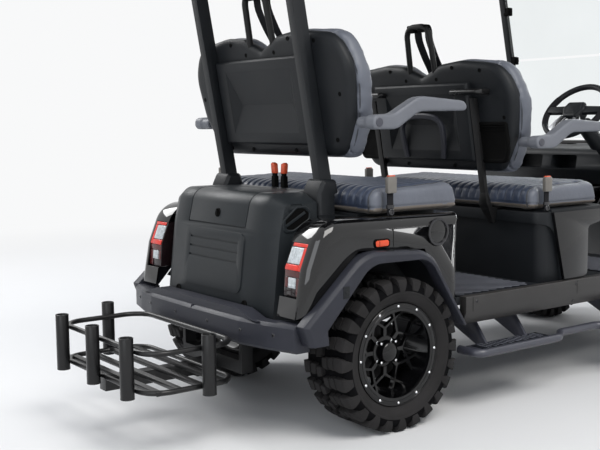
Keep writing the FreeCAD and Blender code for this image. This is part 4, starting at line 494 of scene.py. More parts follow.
# Shoulder block: x and radius of its face, its half length, and x and radius of its foot
SHOULDER = ((117.5, 239, 11, 112, 238), (119.6, 245, 15, 112, 242), (119.9, 260, 19, 111, 256),
            (118, 274, 21.5, 108, 263), (112.5, 284, 23, 104, 266), (100, 289.2, 24, 96, 268),
            (71, 290, 22, 71, 268))
# The block's upper part leans along the tread, by this much for each millimetre inwards
LEAN, LEAN_X, LEAN_RADIUS = 0.12, 118, 284
# Tread blocks: corners x and distance along the tread, and radius and scale of their levels
TREAD_BLOCKS = (
    ((66, -21), (66, 17), (57, 25), (36, 22), (36, -9), (45, -18)),
    ((31, -25), (31, 10), (22, 19), (3, 16), (3, -12), (12, -21)),
)
BLOCK_LEVELS = ((268, 1.12), (283, 1.03), (288.2, 1.0), (290, 0.93))


class Wheel:
    """Maps x, distance along the tread and radius, in millimetres, to a wheel's place."""

    def __init__(self, side, axle_y):
        self.side, self.axle_y = side, axle_y

    def point(self, x, along, radius, angle):
        turn = angle + along / TREAD_RADIUS
        return Vector((self.side * (WHEEL_X + x / 1000),
                       self.axle_y + self.side * radius / 1000 * math.sin(turn),
                       AXLE_Z + radius / 1000 * math.cos(turn)))


def add_shoulder(form, wheel, row, angle, long_foot):
    """Block that wraps over the tyre's shoulder down the sidewall."""
    points, feet = [], []
    for x, radius, half, foot_x, foot_radius in SHOULDER[0 if long_foot else 1:]:
        lean = 0.0 if radius < LEAN_RADIUS else (LEAN_X - x) * LEAN
        points += [wheel.point(row * x, lean + along, radius, angle) for along in (-half, 0, half)]
        feet += [wheel.point(row * foot_x, lean + along, foot_radius, angle)
                 for along in (-half - 1.5, 0, half + 1.5)]
    count = len(points)
    faces = [(a, a + 1, a + 4, a + 3) for i in range(0, count - 3, 3) for a in (i, i + 1)]
    rim = [0, 1, *range(2, count, 3), count - 2, *range(count - 3, 0, -3)]
    for i, here in enumerate(rim):
        k = (i + 1) % len(rim)
        faces.append((here, rim[k], count + k, count + i))
    faces.append(range(count + len(rim) - 1, count - 1, -1))
    form.add(points + [feet[i] for i in rim], faces)


def add_tread_block(form, wheel, row, angle, corners):
    middle_x = sum(x for x, _ in corners) / len(corners)
    middle_t = sum(t for _, t in corners) / len(corners)
    form.rings([[wheel.point(row * (middle_x + (x - middle_x) * scale),
                             middle_t + (t - middle_t) * scale, radius, angle) for x, t in corners]
                for radius, scale in BLOCK_LEVELS])


def make_tyre(name, wheel):
    form = Form()
    section = [*CARCASS, *((-x, radius) for x, radius in reversed(CARCASS))]
    form.rings([[wheel.point(x, 0, radius, 2 * math.pi * k / CARCASS_SIDES) for x, radius in section]
                for k in range(CARCASS_SIDES)], closed=True)
    radii = [radius for _, radius in section]
    # Faces of the carcass out at the tread take the second surface: painted shade between the blocks
    marks = [int(min(a, b) > GROOVE_RADIUS) for a, b in zip(radii, radii[1:] + radii[:1])]
    form.marks = marks * CARCASS_SIDES
    for row, phase in ((1, 0.0), (-1, 0.5)):
        for k in range(LUGS_PER_ROW):
            angle = 2 * math.pi / LUGS_PER_ROW * (k + phase)
            add_shoulder(form, wheel, row, angle, k % 2 == 0)
            for corners in TREAD_BLOCKS:
                add_tread_block(form, wheel, row, angle, corners)
    form.piece("tread_" + name, [TYRE, GROOVE_SHADE], "tyre", 0, body="wheel_" + name,
               replaced=["tyre_" + name])


# Wheel trim: turned profiles of radius and height, in metres
RIVET = ((0.0056, -0.001), (0.0056, 0.0012), (0.0042, 0.003), (0.002, 0.0038), (0.0003, 0.004))
NUT = ((0.0098, -0.001), (0.0098, 0.003), (0.0082, 0.004), (0.0078, 0.019), (0.0055, 0.023),
       (0.0003, 0.0245))
CAP = ((0.0375, 0.046), (0.0375, 0.0495), (0.035, 0.052), (0.026, 0.0555), (0.013, 0.0575),
       (0.0005, 0.058))
CAP_RING = ((0.0585, 0.019), (0.0585, 0.0215), (0.056, 0.023), (0.0405, 0.023), (0.0395, 0.019))
VALVE = ((0.0052, -0.008), (0.0052, 0.006), (0.0038, 0.009), (0.0036, 0.02), (0.0044, 0.021),
         (0.0044, 0.031), (0.003, 0.033))
# Edges of the lip: radius and half thickness, and their distance from the middle plane
LIP_EDGES, LIP_OUT = ((0.1916, 0.0019), (0.1745, 0.0014)), 0.095


def make_wheel_trim(name, wheel):
    """Rivets round the lip, wheel nuts, lip edges, domed cap and valve."""
    out = Vector((wheel.side, 0, 0))
    bright, dark, stem = Form(), Form(), Form()
    for k in range(12):
        bright.lathe(wheel.point(95, 0, 183, 2 * math.pi * k / 12), out, RIVET, 16)
    for k in range(4):
        bright.lathe(wheel.point(20, 0, 50.8, math.pi / 2 * (k + 0.5)), out, NUT, 6)
    hub = wheel.point(0, 0, 0, 0)
    for radius, thick in LIP_EDGES:
        dark.hoop(hub, out, radius, thick, LIP_OUT, 96, 10)
    dark.lathe(hub, out, CAP, 40)
    dark.lathe(hub, out, CAP_RING, 48, closed=True)
    stem.lathe(wheel.point(60, 0, 163, 0.4), out, VALVE, 14)
    for form, kind, surface, slot, bevel in ((bright, "wheel_nuts_", CHROME, "chrome", 0.0006),
                                             (dark, "wheel_trim_", RIM, "rim_black", 0),
                                             (stem, "valve_", TYRE, "tyre", 0)):
        form.piece(kind + name, [surface], slot, bevel, body="wheel_" + name)


for end, axle_y in (("front", FRONT_AXLE_Y), ("rear", REAR_AXLE_Y)):
    for label, side in (("left", 1), ("right", -1)):
        make_tyre(end + "_" + label, Wheel(side, axle_y))
        make_wheel_trim(end + "_" + label, Wheel(side, axle_y))


# Storage housing: lock, flank pockets and plugs
LOCK = ((0.0175, -0.002), (0.0175, 0.002), (0.015, 0.0045), (0.0125, 0.0045), (0.0115, 0.001),
        (0.0005, 0.001))
PLUG = ((0.019, -0.002), (0.019, 0.0022), (0.016, 0.0038), (0.0135, 0.0022), (0.0005, 0.0016))
# Pocket: corners (y, z, radius), and scale and height of its levels over the flank
FLANK_X = 0.385
POCKET = ((1.076, 0.824, 0.016), (1.104, 0.846, 0.02), (1.146, 0.847, 0.02), (1.212, 0.795, 0.02),
          (1.207, 0.752, 0.018), (1.166, 0.75, 0.02), (1.08, 0.796, 0.02))
POCKET_LEVELS = ((1.0, -0.004), (1.0, 0.0015), (0.975, 0.004), (0.86, 0.0045), (0.82, 0.0035),
                 (0.79, 0.0012), (0.1, 0.0008))
POCKET_RIB = ((1.105, 0.818), (1.112, 0.826), (1.2, 0.779), (1.193, 0.771))


def make_lock():
    point, normal = dropped(nodes["trunk_hatch"], (0.0, 1.6, 0.804), FORWARD)
    form = Form()
    form.lathe(point, normal, LOCK, 32)
    across = Vector((0.35, 0, 0.94)).cross(normal).normalized()
    form.prism(on_plane(point, across, normal.cross(across), ((-0.0045, -0.014), (0.0045, -0.014),
                                                              (0.0027, 0.014), (-0.0027, 0.014))),
               normal * 0.009)
    form.piece("hatch_lock", [SEAM], "body_matte", 0.001, body="trunk_hatch")


def make_pockets():
    """Slanted grip pockets in the housing's flanks, a rib across each."""
    outline = rounded(POCKET)
    middle = sum(outline, Vector((0, 0))) / len(outline)
    levels = [side_outline(FLANK_X + level, [middle + (p - middle) * scale for p in outline])
              for scale, level in POCKET_LEVELS]
    form = Form()
    form.rings(levels[:-1], foot=False, top=False)
    # The pocket's floor takes the near-black seam material: painted shade in the hollow
    form.rings(levels[-2:], mark=1)
    form.prism(side_outline(FLANK_X + 0.0005, POCKET_RIB), LEFT * 0.0035)
    form.mirror().piece("housing_pockets", [BUSTLE, SEAM], "bustle_grey", 0.0006)


def make_plugs():
    form = Form()
    for x in (-0.245, 0.245):
        form.lathe(*dropped(nodes["bustle"], (x, 1.6, 0.476), FORWARD), PLUG, 28)
    form.piece("housing_plugs", [SEAM], "bustle_grey", 0)


make_lock()
make_pockets()
make_plugs()

# Tail lamps: rear face of the lamp as (z, y); lens fields as x, x, z, z, rise and mark
LAMP_FACE = ((0.538, 1.2575), (0.64, 1.2495), (0.728, 1.2135))
RED_FIELDS = (
    (0.466, 0.5495, 0.7145, 0.7265, 0.003), (0.5335, 0.5495, 0.6325, 0.713, 0.003),
    (0.4585, 0.532, 0.6325, 0.6525, 0.004), (0.4585, 0.5495, 0.6085, 0.6305, 0.002, 1),
    (0.4585, 0.4765, 0.569, 0.6065, 0.002, 1), (0.5255, 0.5495, 0.542, 0.6065, 0.0015, 1),
)
CLEAR_FIELDS = ((0.4615, 0.5315, 0.6555, 0.7115, 0.0035), (0.4795, 0.5225, 0.569, 0.6055, 0.0035))
RIB_RISE = 0.0048
RIBS = (*((x, x + 0.0018, 0.659, 0.706, RIB_RISE) for x in (0.474, 0.4865, 0.499, 0.5115)),
        *((0.483, 0.519, z, z + 0.0015, RIB_RISE) for z in (0.5785, 0.5885, 0.5975)))


def add_field(form, x0, x1, z0, z1, rise, mark=0):
    """Lens field on the lamp's rear face."""
    heights, depths = zip(*LAMP_FACE)
    levels = [z0] + [z for z in heights[1:-1] if z0 + 0.004 < z < z1 - 0.004] + [z1]
    face = [(float(np.interp(z, heights, depths)), z) for z in levels]
    outline = [(y + rise, z) for y, z in face] + [(y - 0.006, z) for y, z in reversed(face)]
    form.prism(side_outline(x0, outline), (x1 - x0, 0, 0), mark)


for name, surfaces, slot, fields, width, segments in (
        ("lamp_lenses_red", [RED, MAROON], "lamp_red", RED_FIELDS, 0.0016, 3),
        ("lamp_lenses_clear", [LENS], "lamp_clear", CLEAR_FIELDS, 0.0022, 3),
        ("lamp_ribs", [LENS], "lamp_clear", RIBS, 0.0003, 1)):
    lamp = Form()
    for field in fields:
        add_field(lamp, *field)
    lamp.mirror().piece(name, surfaces, slot, width, segments)


# Wheel flares with their corners rolled over, as on the moulding
ROLLS = ((False, 0.062), (True, 0.046))
FOLD_LEAST, FOLD_MOST = math.radians(20), math.radians(65)
FOLD_Z = 0.55


def make_flares():
    mesh = nodes["arch_flares"].data.copy()
    form = bmesh.new()
    form.from_mesh(mesh)
    bmesh.ops.remove_doubles(form, verts=form.verts, dist=0.00001)
    bmesh.ops.dissolve_limit(form, angle_limit=0.02, verts=form.verts, edges=form.edges)
    for hollow, offset in ROLLS:
        folds = []
        for edge in form.edges:
            along = (edge.verts[1].co - edge.verts[0].co).normalized()
            angle = edge.calc_face_angle_signed(0.0)
            turned = FOLD_LEAST < abs(angle) < FOLD_MOST and (angle < 0) == hollow
            if turned and abs(along.x) > 0.6 and min(v.co.z for v in edge.verts) > FOLD_Z:
                folds.append(edge)
        bmesh.ops.bevel(form, geom=folds, offset=offset, offset_type="OFFSET", segments=7, profile=0.5,
                        affect="EDGES", clamp_overlap=True)
    bmesh.ops.recalc_face_normals(form, faces=form.faces)
    form.to_mesh(mesh)
    form.free()
    piece = link(bpy.data.objects.new("wheel_flares", mesh))
    soften(piece, 0.0035, 3)
    enter(piece, "chassis", ["arch_flares"])


# Fenders: seams, filler door, markers' frames, flare clips and screws
FENDER_X = 0.6
DOOR_Y = 0.6385
DOOR = ((0.0435, -0.002), (0.0435, 0.0022), (0.042, 0.0034), (0.02, 0.0046), (0.0005, 0.005))
BODY_SCREWS = (
    ("rear_bumper", FORWARD, ((0.5, 1.6, 0.41), (0.34, 1.7, 0.41), (0.12, 1.7, 0.41))),
    ("sills", RIGHT, ((0.8, -0.172, 0.448), (0.8, -0.172, 0.372), (0.8, 0.44, 0.444),
                      (0.8, -0.9, 0.444))),
    ("front_bumper", BACKWARD, ((0.5, -2.2, 0.41), (0.3, -2.2, 0.41))),
)


def add_seam(form, thing, y, top, foot, pitch=0.02):
    """Upright dark line on a left-hand face."""
    count = math.ceil((top - foot) / pitch)
    pairs = [dropped(thing, (0.8, y, top + (foot - top) * i / count), RIGHT) for i in range(count + 1)]
    form.ribbon([point for point, _ in pairs], [normal for _, normal in pairs], 0.0028, 0.0004)


def add_plate(form, point, normal, across, up, half_width, half_height, thick):
    """Rectangular plate, let into the surface by a millimetre."""
    corners = rectangle(-half_width, -half_height, half_width, half_height)
    form.prism(on_plane(point - normal * 0.001, across, up, corners), normal * thick)


def make_fender_trim():
    seams, door, frames, clips = Form(), Form(), Form(), Form()
    add_seam(seams, nodes["rear_fenders"], 0.863, 0.76, 0.694)
    for y in (-0.18, 0.462):
        add_seam(seams, nodes["sills"], y, 0.462, 0.405)
    seams.mirror().piece("panel_seams", [SEAM], "body_matte", 0)
    door.lathe((FENDER_X, DOOR_Y, 0.733), LEFT, DOOR, 56)
    door.block((0.6035, DOOR_Y - 0.036, 0.7315), (0.6065, DOOR_Y + 0.036, 0.7335))
    door.mirror().piece("filler_door", [GLOSS], "body_gloss", 0.0004)
    corners = [(y, z, 0.009) for y, z in rectangle(0.8865, 0.697, 0.9545, 0.725)]
    outline = side_outline(FENDER_X, rounded(corners))
    frames.ribbon(outline, [LEFT] * len(outline), 0.0045, 0.0062, closed=True)
    frames.block((FENDER_X, 0.9325, 0.701), (0.6058, 0.9345, 0.721))
    frames.mirror().piece("marker_frames", [SEAM], "body_matte", 0.0004, 1)
    point, normal = dropped(nodes["arch_flares"], (0.8, 1.123, 0.557), RIGHT)
    up = (UP - normal * normal.z).normalized()
    add_plate(clips, point, normal, up.cross(normal), up, 0.014, 0.021, 0.0032)
    add_screw(clips, point + normal * 0.0022, normal, 0.0055)
    for y in (0.79, 0.905):
        point, normal = dropped(nodes["arch_flares"], (0.622, y, 0.9), -UP)
        add_plate(clips, point, normal, LEFT, BACKWARD, 0.009, 0.02, 0.003)
    clips.mirror().piece("flare_clips", [MOULDED], "flare_matte", 0.001)


def make_body_screws():
    form = Form()
    for node, direction, starts in BODY_SCREWS:
        for start in starts:
            add_screw(form, *dropped(nodes[node], start, direction), 0.0065)
    form.mirror().piece("body_screws", [SMOKED], "chrome", 0)


make_flares()
make_fender_trim()
make_body_screws()

# Soft seats, blown up like stuffed covers; SWELL is how far a point may move
CLOTH = {"quality": 4, "mass": 0.3, "tension_stiffness": 12, "compression_stiffness": 12,
         "shear_stiffness": 4, "bending_stiffness": 0.4, "use_pressure": True,
         "uniform_pressure_force": 4}
CLOTH_FRAMES = 20
SWELL = 0.012
SEAT_VOXEL, ARM_VOXEL = 0.0095, 0.005


def coordinates(mesh):
    points = np.zeros(len(mesh.vertices) * 3)
    mesh.vertices.foreach_get("co", points)
    return points.reshape(-1, 3)


def vertex_normals(mesh):
    normals = np.zeros(len(mesh.vertices) * 3)
    mesh.vertex_normals.foreach_get("vector", normals)
    return normals.reshape(-1, 3)


def evaluated(piece):
    """Mesh that a piece's modifiers make; they are taken off."""
    mesh = bpy.data.meshes.new_from_object(piece.evaluated_get(bpy.context.evaluated_depsgraph_get()))
    piece.modifiers.clear()
    return mesh


def bake(piece):
    """Replace a piece's mesh by what its modifiers make of it, smooth all over."""
    old, piece.data = piece.data, evaluated(piece)
    bpy.data.meshes.remove(old)
    for polygon in piece.data.polygons:
        polygon.use_smooth = True


def inflate(piece):
    rest = coordinates(piece.data)
    cloth = piece.modifiers.new("Cloth", "CLOTH")
    for setting, value in CLOTH.items():
        setattr(cloth.settings, setting, value)
    cloth.settings.effector_weights.gravity = 0
    cloth.point_cache.frame_end = CLOTH_FRAMES
    for number in range(1, CLOTH_FRAMES + 1):
        bpy.context.scene.frame_set(number)
    swollen = evaluated(piece)
    bpy.context.scene.frame_set(1)
    moved = coordinates(swollen) - rest
    length = np.linalg.norm(moved, axis=1, keepdims=True)
    moved *= np.minimum(1.0, SWELL / np.maximum(length, 1e-9))
    piece.data.vertices.foreach_set("co", (rest + moved).ravel())
    piece.data.update()
    bpy.data.meshes.remove(swollen)


def remeshed(name, node, voxel, rounds, shrink=0.0):
    """Evenly meshed copy of a solid, drawn in on every side and relaxed for some rounds."""
    piece = link(bpy.data.objects.new(name, nodes[node].data.copy()))
    if shrink:
        low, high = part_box(node)
        centre, size = np.array((low + high) / 2), np.array(high - low)
        points = (coordinates(piece.data) - centre) * ((size - 2 * shrink) / size) + centre
        piece.data.vertices.foreach_set("co", points.ravel())
    remesh = piece.modifiers.new("Remesh", "REMESH")
    remesh.mode = "VOXEL"
    remesh.voxel_size = voxel
    relax = piece.modifiers.new("Relax", "SMOOTH")
    relax.factor = 0.5
    relax.iterations = rounds
    bake(piece)
    return piece


def soft_form(name, node, rounds, shrink):
    piece = remeshed(name, node, SEAT_VOXEL, rounds, shrink)
    inflate(piece)
    piece.modifiers.new("Divide", "SUBSURF").levels = 1
    bake(piece)
    return piece


def paint(piece, surfaces, choose):
    """Give a piece its surfaces; choose says which of them a face takes."""
    piece.data.materials.clear()
    for surface in surfaces:
        piece.data.materials.append(surface)
    for face in piece.data.polygons:
        face.material_index = choose(face)


# Pleats, half width of the pleated panels, and the seam outside them
PLEAT, PLEAT_DEPTH, PLEAT_WIDTH = 0.043, 0.0075, 0.0055
PANEL_HALF, PAD_PANEL_HALF = 0.5, 0.42
SEAM_OUT, SEAM_WIDTH = 0.012, 0.005
TRIM_HEIGHT = 0.023
# Hollows beside the buckles: where they begin, half length and depth
HOLLOW_X, HOLLOW_LENGTH, HOLLOW_DEPTH = 0.51, 0.013, 0.016
# Distance between the two seats, and how much lower the front seat's back stands
SEAT_PITCH, BACK_DROP = 0.88, 0.09
BUCKLE_Y = 0.8535


def bell(values, width):
    return np.exp(-(values / width) ** 2)


def sew(points, normals, across, limit):
    """Push channels in along lines of equal x, on the main panel between the end panels."""
    x = points[:, 0]
    nearest = np.abs((x / PLEAT) - np.round(x / PLEAT)) * PLEAT
    groove = bell(nearest, PLEAT_WIDTH) * (np.abs(x) < limit + 0.01) * across
    seam = bell(np.abs(x) - limit - SEAM_OUT, SEAM_WIDTH) * 0.8
    return points - normals * ((groove + seam) * PLEAT_DEPTH)[:, None]


def make_cushion(row):
    """Cushion with its pleats, a line over its trim, and hollows beside the buckles."""
    node = "cushion_" + row
    low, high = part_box(node)
    piece = soft_form("seat_" + row, node, 9, 0.008)
    points, normals = coordinates(piece.data), vertex_normals(piece.data)
    points = sew(points, normals, np.clip((points[:, 2] - low.z - 0.03) / 0.03, 0, 1), PANEL_HALF)
    band = bell(points[:, 2] - low.z - TRIM_HEIGHT - 0.003, 0.004)
    points -= normals * (band * (1 - np.abs(normals[:, 2])) * 0.004)[:, None]
    hollow = bell(points[:, 1] - BUCKLE_Y + SEAT_PITCH * (row == "front"), HOLLOW_LENGTH)
    hollow *= np.clip((np.abs(points[:, 0]) - HOLLOW_X) / 0.04, 0, 1)
    points[:, 0] -= np.sign(points[:, 0]) * hollow * HOLLOW_DEPTH
    for axis, (start, end) in enumerate(zip(low, high)):
        points[:, axis] = np.clip(points[:, axis], start - 0.004, end + 0.006)
    points[:, 2] = np.maximum(points[:, 2], low.z)
    piece.data.vertices.foreach_set("co", points.ravel())

    def panel(face):
        if face.center.z < low.z + TRIM_HEIGHT:
            return 2
        return int(abs(face.center.x) > PANEL_HALF + SEAM_OUT)

    paint(piece, (SLATE, GREY, TRIM), panel)
    enter(piece, "chassis", [node])
    return piece


def make_back_pad(row):
    node = "back_pad_" + row
    piece = soft_form("back_" + row, node, 26, 0.006)
    points, normals = coordinates(piece.data), vertex_normals(piece.data)
    front = np.clip(-normals[:, 1] * 2 - 0.4, 0, 1) * (np.abs(points[:, 0]) < PAD_PANEL_HALF)
    points = sew(points, normals, front, PAD_PANEL_HALF)
    piece.data.vertices.foreach_set("co", points.ravel())
    paint(piece, (GREY, SLATE),
          lambda face: int(abs(face.center.x) < PAD_PANEL_HALF + 0.01 and face.normal.y < -0.3))
    enter(piece, "chassis", [node])
    return piece


# Seat backs: slope of the shell's rear face, and y and z of a line in it at the rear seat
BACK_SLOPE = 0.1723
BACK_LINE = (1.047, 1.479)
BACK_LOW = 1.0
BACK_NORMAL = Vector((0, 1, -BACK_SLOPE)).normalized()
# Rim of a moulded shell: distance in from its outline and behind its face
SHELL_RIM = ((0.0, -0.042), (0.0, -0.03), (0.0015, -0.022), (0.0055, -0.0145), (0.0125, -0.008),
             (0.022, -0.0035), (0.033, -0.0008), (0.045, 0.0))
SHELL_SCREWS = ((0.36, 0.452), (0.2, 0.47), (0.098, 0.424), (0.47, 0.253), (0.42, 0.085), (0.31, 0.044),
                (0.15, 0.042))
SHELL_SCREW = ((0.0085, -0.002), (0.0085, 0.0006), (0.0075, 0.0012), (0.006, 0.0006), (0.0005, 0.0004))
# Raised box behind a shell: heights of its edges and how far it stands out
BOX_LOW, BOX_HIGH, BOX_OUT = 0.064, 0.403, 0.028
# Piping: radius of the cords on a cushion and round a seat back, and the latter's distance
CORD_RADIUS, LOOP_RADIUS, LOOP_OUT = 0.0034, 0.003, -0.051


class Back:
    """Places on a seat back: x, height above its lower edge, and distance behind the shell's face."""

    def __init__(self, row):
        self.shift = int(row == "front")

    def point(self, x, height, out=0.0):
        slope = (BACK_LOW + height - BACK_LINE[1]) * BACK_SLOPE
        return Vector((x, BACK_LINE[0] - SEAT_PITCH * self.shift + slope + out,
                       BACK_LOW - BACK_DROP * self.shift + height))


def back_outline(half, inset, notch):
    """Heart-shaped outline (x, height) of a seat back, the right half and then the left."""
    low, high = inset, 0.52 - inset
    right = rounded([(0, low, 0), (half - 0.12, low, 0.06), (half - 0.03, low + 0.15, 0.12),
                     (half, low + 0.33, 0.15), (half - 0.07, high - 0.02, 0.13),
                     (half * 0.45, high + 0.006, 0.2), (notch + 0.06, high - 0.006, 0.06),
                     (0, high - notch, 0)], 8)
    return right + [Vector((-p.x, p.y)) for p in reversed(right[1:-1])]


def even(outline, count):
    """The same closed outline with evenly spaced points."""
    closed = outline + outline[:1]
    lengths = [0.0]
    for first, second in zip(closed, closed[1:]):
        lengths.append(lengths[-1] + (second - first).length)
    marks = np.linspace(0, lengths[-1], count, endpoint=False)
    return [Vector(pair) for pair in zip(np.interp(marks, lengths, [p.x for p in closed]),
                                         np.interp(marks, lengths, [p.y for p in closed]))]


def inward(outline, distance):
    """Outline drawn in by a distance, its normals smoothed over some points."""
    count, moved = len(outline), []
    for i, here in enumerate(outline):
        ahead = outline[(i + 2) % count] - outline[i - 2]
        moved.append(here + Vector((-ahead.y, ahead.x)).normalized() * distance)
    return moved


def add_back_box(form, back, half):
    """Raised box behind a shell; its sunk field folds in towards a middle line."""
    def corners(level, side=0.0, low=0.0, high=0.0):
        edges = rectangle(-half + side, BOX_LOW + low, half - side, BOX_HIGH - high)
        return [back.point(x, height, level) for x, height in edges]

    hole = corners(BOX_OUT, 0.075, 0.046, 0.045)
    form.rings([corners(-0.006), corners(BOX_OUT - 0.009), corners(BOX_OUT, 0.009, 0.009, 0.009), hole],
               top=False)
    fold = BOX_LOW + 0.046 + (BOX_HIGH - 0.045 - BOX_LOW - 0.046) * 0.46
    left, right = back.point(-half + 0.125, fold, 0.0015), back.point(half - 0.125, fold, 0.0015)
    for facet in ((hole[0], hole[1], right, left), (hole[2], hole[3], left, right),
                  (hole[1], hole[2], right), (hole[3], hole[0], left)):
        middle = sum(facet, Vector()) / len(facet)
        form.add([point + (middle - point) * 0.001 - BACK_NORMAL * 0.0008 for point in facet],
                 [range(len(facet))])


def make_shell(row):
    back = Back(row)
    form, screws = Form(), Form()
    outline = even(back_outline(0.535, 0.024, 0.056), 180)
    form.rings([[back.point(p.x, p.y, out) for p in inward(outline, distance)]
                for distance, out in SHELL_RIM])
    add_back_box(form, back, 0.302 if row == "rear" else 0.299)
    form.piece("shell_" + row, [MOULDED], "body_matte", 0.0015, replaced=["back_shell_" + row])
    for side in (-1, 1):
        for x, height in SHELL_SCREWS:
            screws.lathe(back.point(side * x, height), BACK_NORMAL, SHELL_SCREW, 20)
    screws.piece("shell_screws_" + row, [SEAM], "body_matte", 0)


def make_piping(row, cushion, pad):
    """Cords sewn in where the end panels meet the pleats, and round the seat back's edge."""
    low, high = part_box("cushion_" + row)
    form = Form()
    for x in (-PANEL_HALF - SEAM_OUT, PANEL_HALF + SEAM_OUT):
        centre = Vector((x, (low.y + high.y) / 2, low.z + 0.03))
        cord = []
        for k in range(49):
            angle = math.radians(-8 + 196 * k / 48)
            away = Vector((0, math.cos(angle), math.sin(angle)))
            point, normal = dropped(cushion, centre + away, -away)
            cord.append(point + normal * 0.0008)
        form.tube(cord, CORD_RADIUS, 8)
    back, loop = Back(row), []
    for p in even(back_outline(0.56, 0.004, 0.078), 150):
        start = back.point(p.x * 1.6, (p.y - 0.26) * 1.9 + 0.26, LOOP_OUT)
        loop.append(dropped(pad, start, back.point(p.x, p.y, LOOP_OUT) - start)[0])
    for _ in range(8):
        loop = [(loop[i - 1] + loop[i] * 2 + loop[(i + 1) % len(loop)]) / 4 for i in range(len(loop))]
    form.tube(loop, LOOP_RADIUS, 8, closed=True)
    form.piece("piping_" + row, [PIPING], "seat_slate", 0)


# Belts: distance from the middle, width and thickness, height of the hoop, outline of a tongue
BELT_X, BELT_WIDTH, BELT_THICK, HOOP_HEIGHT = 0.034, 0.046, 0.001, 0.652
TONGUE = ((-0.024, 0.012), (0.024, 0.012), (0.02, -0.03), (0.011, -0.052), (-0.011, -0.052),
          (-0.02, -0.03))


def make_belts(row, pad):
    """Shoulder belts from the hoop through the notch and down the seat back's face."""
    back = Back(row)
    webbing, metal, guides = Form(), Form(), Form()
    reach = Vector((0.0245, 0.0165, 0.0165))
    for x in (-BELT_X, BELT_X):
        top = back.point(x, HOOP_HEIGHT, -0.03)
        path = [top + Vector((0, 0.012, 0.004)), top + Vector((0, -0.006, 0.015)),
                top + Vector((0, -0.022, -0.006)), back.point(x * 0.97, 0.6, -0.052),
                back.point(x * 0.93, 0.53, -0.075), back.point(x * 0.9, 0.475, -0.1)]
        normals = [Vector((0, y, z)) for y, z in
                   ((1, 0.3), (0, 1), (-1, 0.1), (-1, 0), (-1, 0), (-1, 0.2))]
        for k in range(13):
            point, normal = dropped(pad, back.point(x, 0.43 - 0.03 * k, -0.4), BACKWARD)
            path.append(point + normal * 0.003)
            normals.append(Vector((0, -1, 0.1)).normalized())
        webbing.ribbon(smoothed(path), smoothed(normals), BELT_WIDTH, BELT_THICK)
        metal.prism(on_plane(path[-1] + FORWARD * 0.003, LEFT, UP, TONGUE), FORWARD * 0.0035)
        guide = back.point(x, HOOP_HEIGHT, -0.021)
        guides.block(guide - reach, guide + reach)
    webbing.piece("belts_" + row, [STRAP], "body_matte", 0)
    metal.piece("belt_tongues_" + row, [SATIN], "chrome", 0.001)
    guides.piece("belt_guides_" + row, [SEAM], "body_matte", 0.005, 3)


# Buckles: outlines of the heads (y, z), of the latches between the places and of their buttons (x, z)
BUCKLE_HEAD = ((-0.021, 0.088), (0.021, 0.088), (0.0225, 0.145), (0.014, 0.15), (-0.014, 0.15),
               (-0.0225, 0.145))
LATCH = ((0.018, 0.7985), (0.046, 0.7985), (0.044, 0.935), (0.02, 0.935))
LATCH_BUTTON = ((0.0185, 0.945), (0.0455, 0.945), (0.05, 0.984), (0.04, 0.99), (0.0225, 0.984))
ANCHOR = ((0.013, 0), (0.013, 0.004), (0.0115, 0.006), (0.0065, 0.006), (0.006, 0.003), (0.0005, 0.003))


def make_buckles():
    """Buckle heads with their buttons, straps and ring anchors, and the latches between the places."""
    heads, buttons, straps, rings, latches, caps = (Form() for _ in range(6))
    for y, base in ((BUCKLE_Y, 0.8014), (BUCKLE_Y - SEAT_PITCH, 0.7633)):
        heads.prism(side_outline(0.567, [(y + a, base + b) for a, b in BUCKLE_HEAD]), LEFT * 0.019)
        buttons.block((0.5705, y - 0.0155, base + 0.149), (0.5825, y + 0.0155, base + 0.1535))
        straps.block((0.5685, y - 0.0135, base + 0.004), (0.5745, y + 0.0135, base + 0.092))
        rings.lathe((0.5735, y - 0.002, base + 0.018), LEFT, ANCHOR, 24)
        rings.block((0.5675, y - 0.0165, base + 0.03), (0.576, y + 0.0165, base + 0.044))
    latches.prism(on_plane(BACKWARD * 0.936, LEFT, UP, LATCH), BACKWARD * 0.0215)
    latches.block((0.02, 0.9405, 0.93), (0.044, 0.9535, 0.962))
    caps.prism(on_plane(BACKWARD * 0.938, LEFT, UP, LATCH_BUTTON), BACKWARD * 0.018)
    heads.mirror().piece("buckle_heads", [BUCKLE], "seat_grey", 0.0035, 3, replaced=["buckles"])
    for form, name, surface, slot, width, segments in (
            (buttons, "buckle_buttons", BUTTON, "lamp_red", 0.0012, 2),
            (straps, "buckle_straps", STRAP, "body_matte", 0.001, 2),
            (rings, "buckle_anchors", SMOKED, "chrome", 0.0006, 2),
            (latches, "latches", SEAM, "body_matte", 0.003, 3),
            (caps, "latch_buttons", BUTTON, "lamp_red", 0.0025, 3)):
        form.mirror().piece(name, [surface], slot, width, segments)


# Behind the front seat: a handle's path (x, out), a pocket's corners (x, height, radius) and its
# levels (inwards, out), and half of the arched rib (x, height)
HANDLE = ((0.228, 0.02), (0.228, 0.046), (0.236, 0.054), (0.3, 0.056), (0.388, 0.056), (0.396, 0.048),
          (0.396, -0.004))
SEAT_POCKET = ((0.312, 0.06, 0.012), (0.465, 0.06, 0.03), (0.485, 0.12, 0.03), (0.485, 0.235, 0.012),
               (0.312, 0.235, 0.012))
SEAT_POCKET_LEVELS = ((0, -0.004), (0, 0.006), (0.004, 0.0095), (0.012, 0.0095), (0.016, 0.0065))
SEAT_POCKET_MIDDLE, SEAT_POCKET_HALF = Vector((0.3985, 0.148)), 0.085
ARCH = ((0.118, 0.075), (0.13, 0.16), (0.128, 0.215), (0.1, 0.25), (0.04, 0.262))


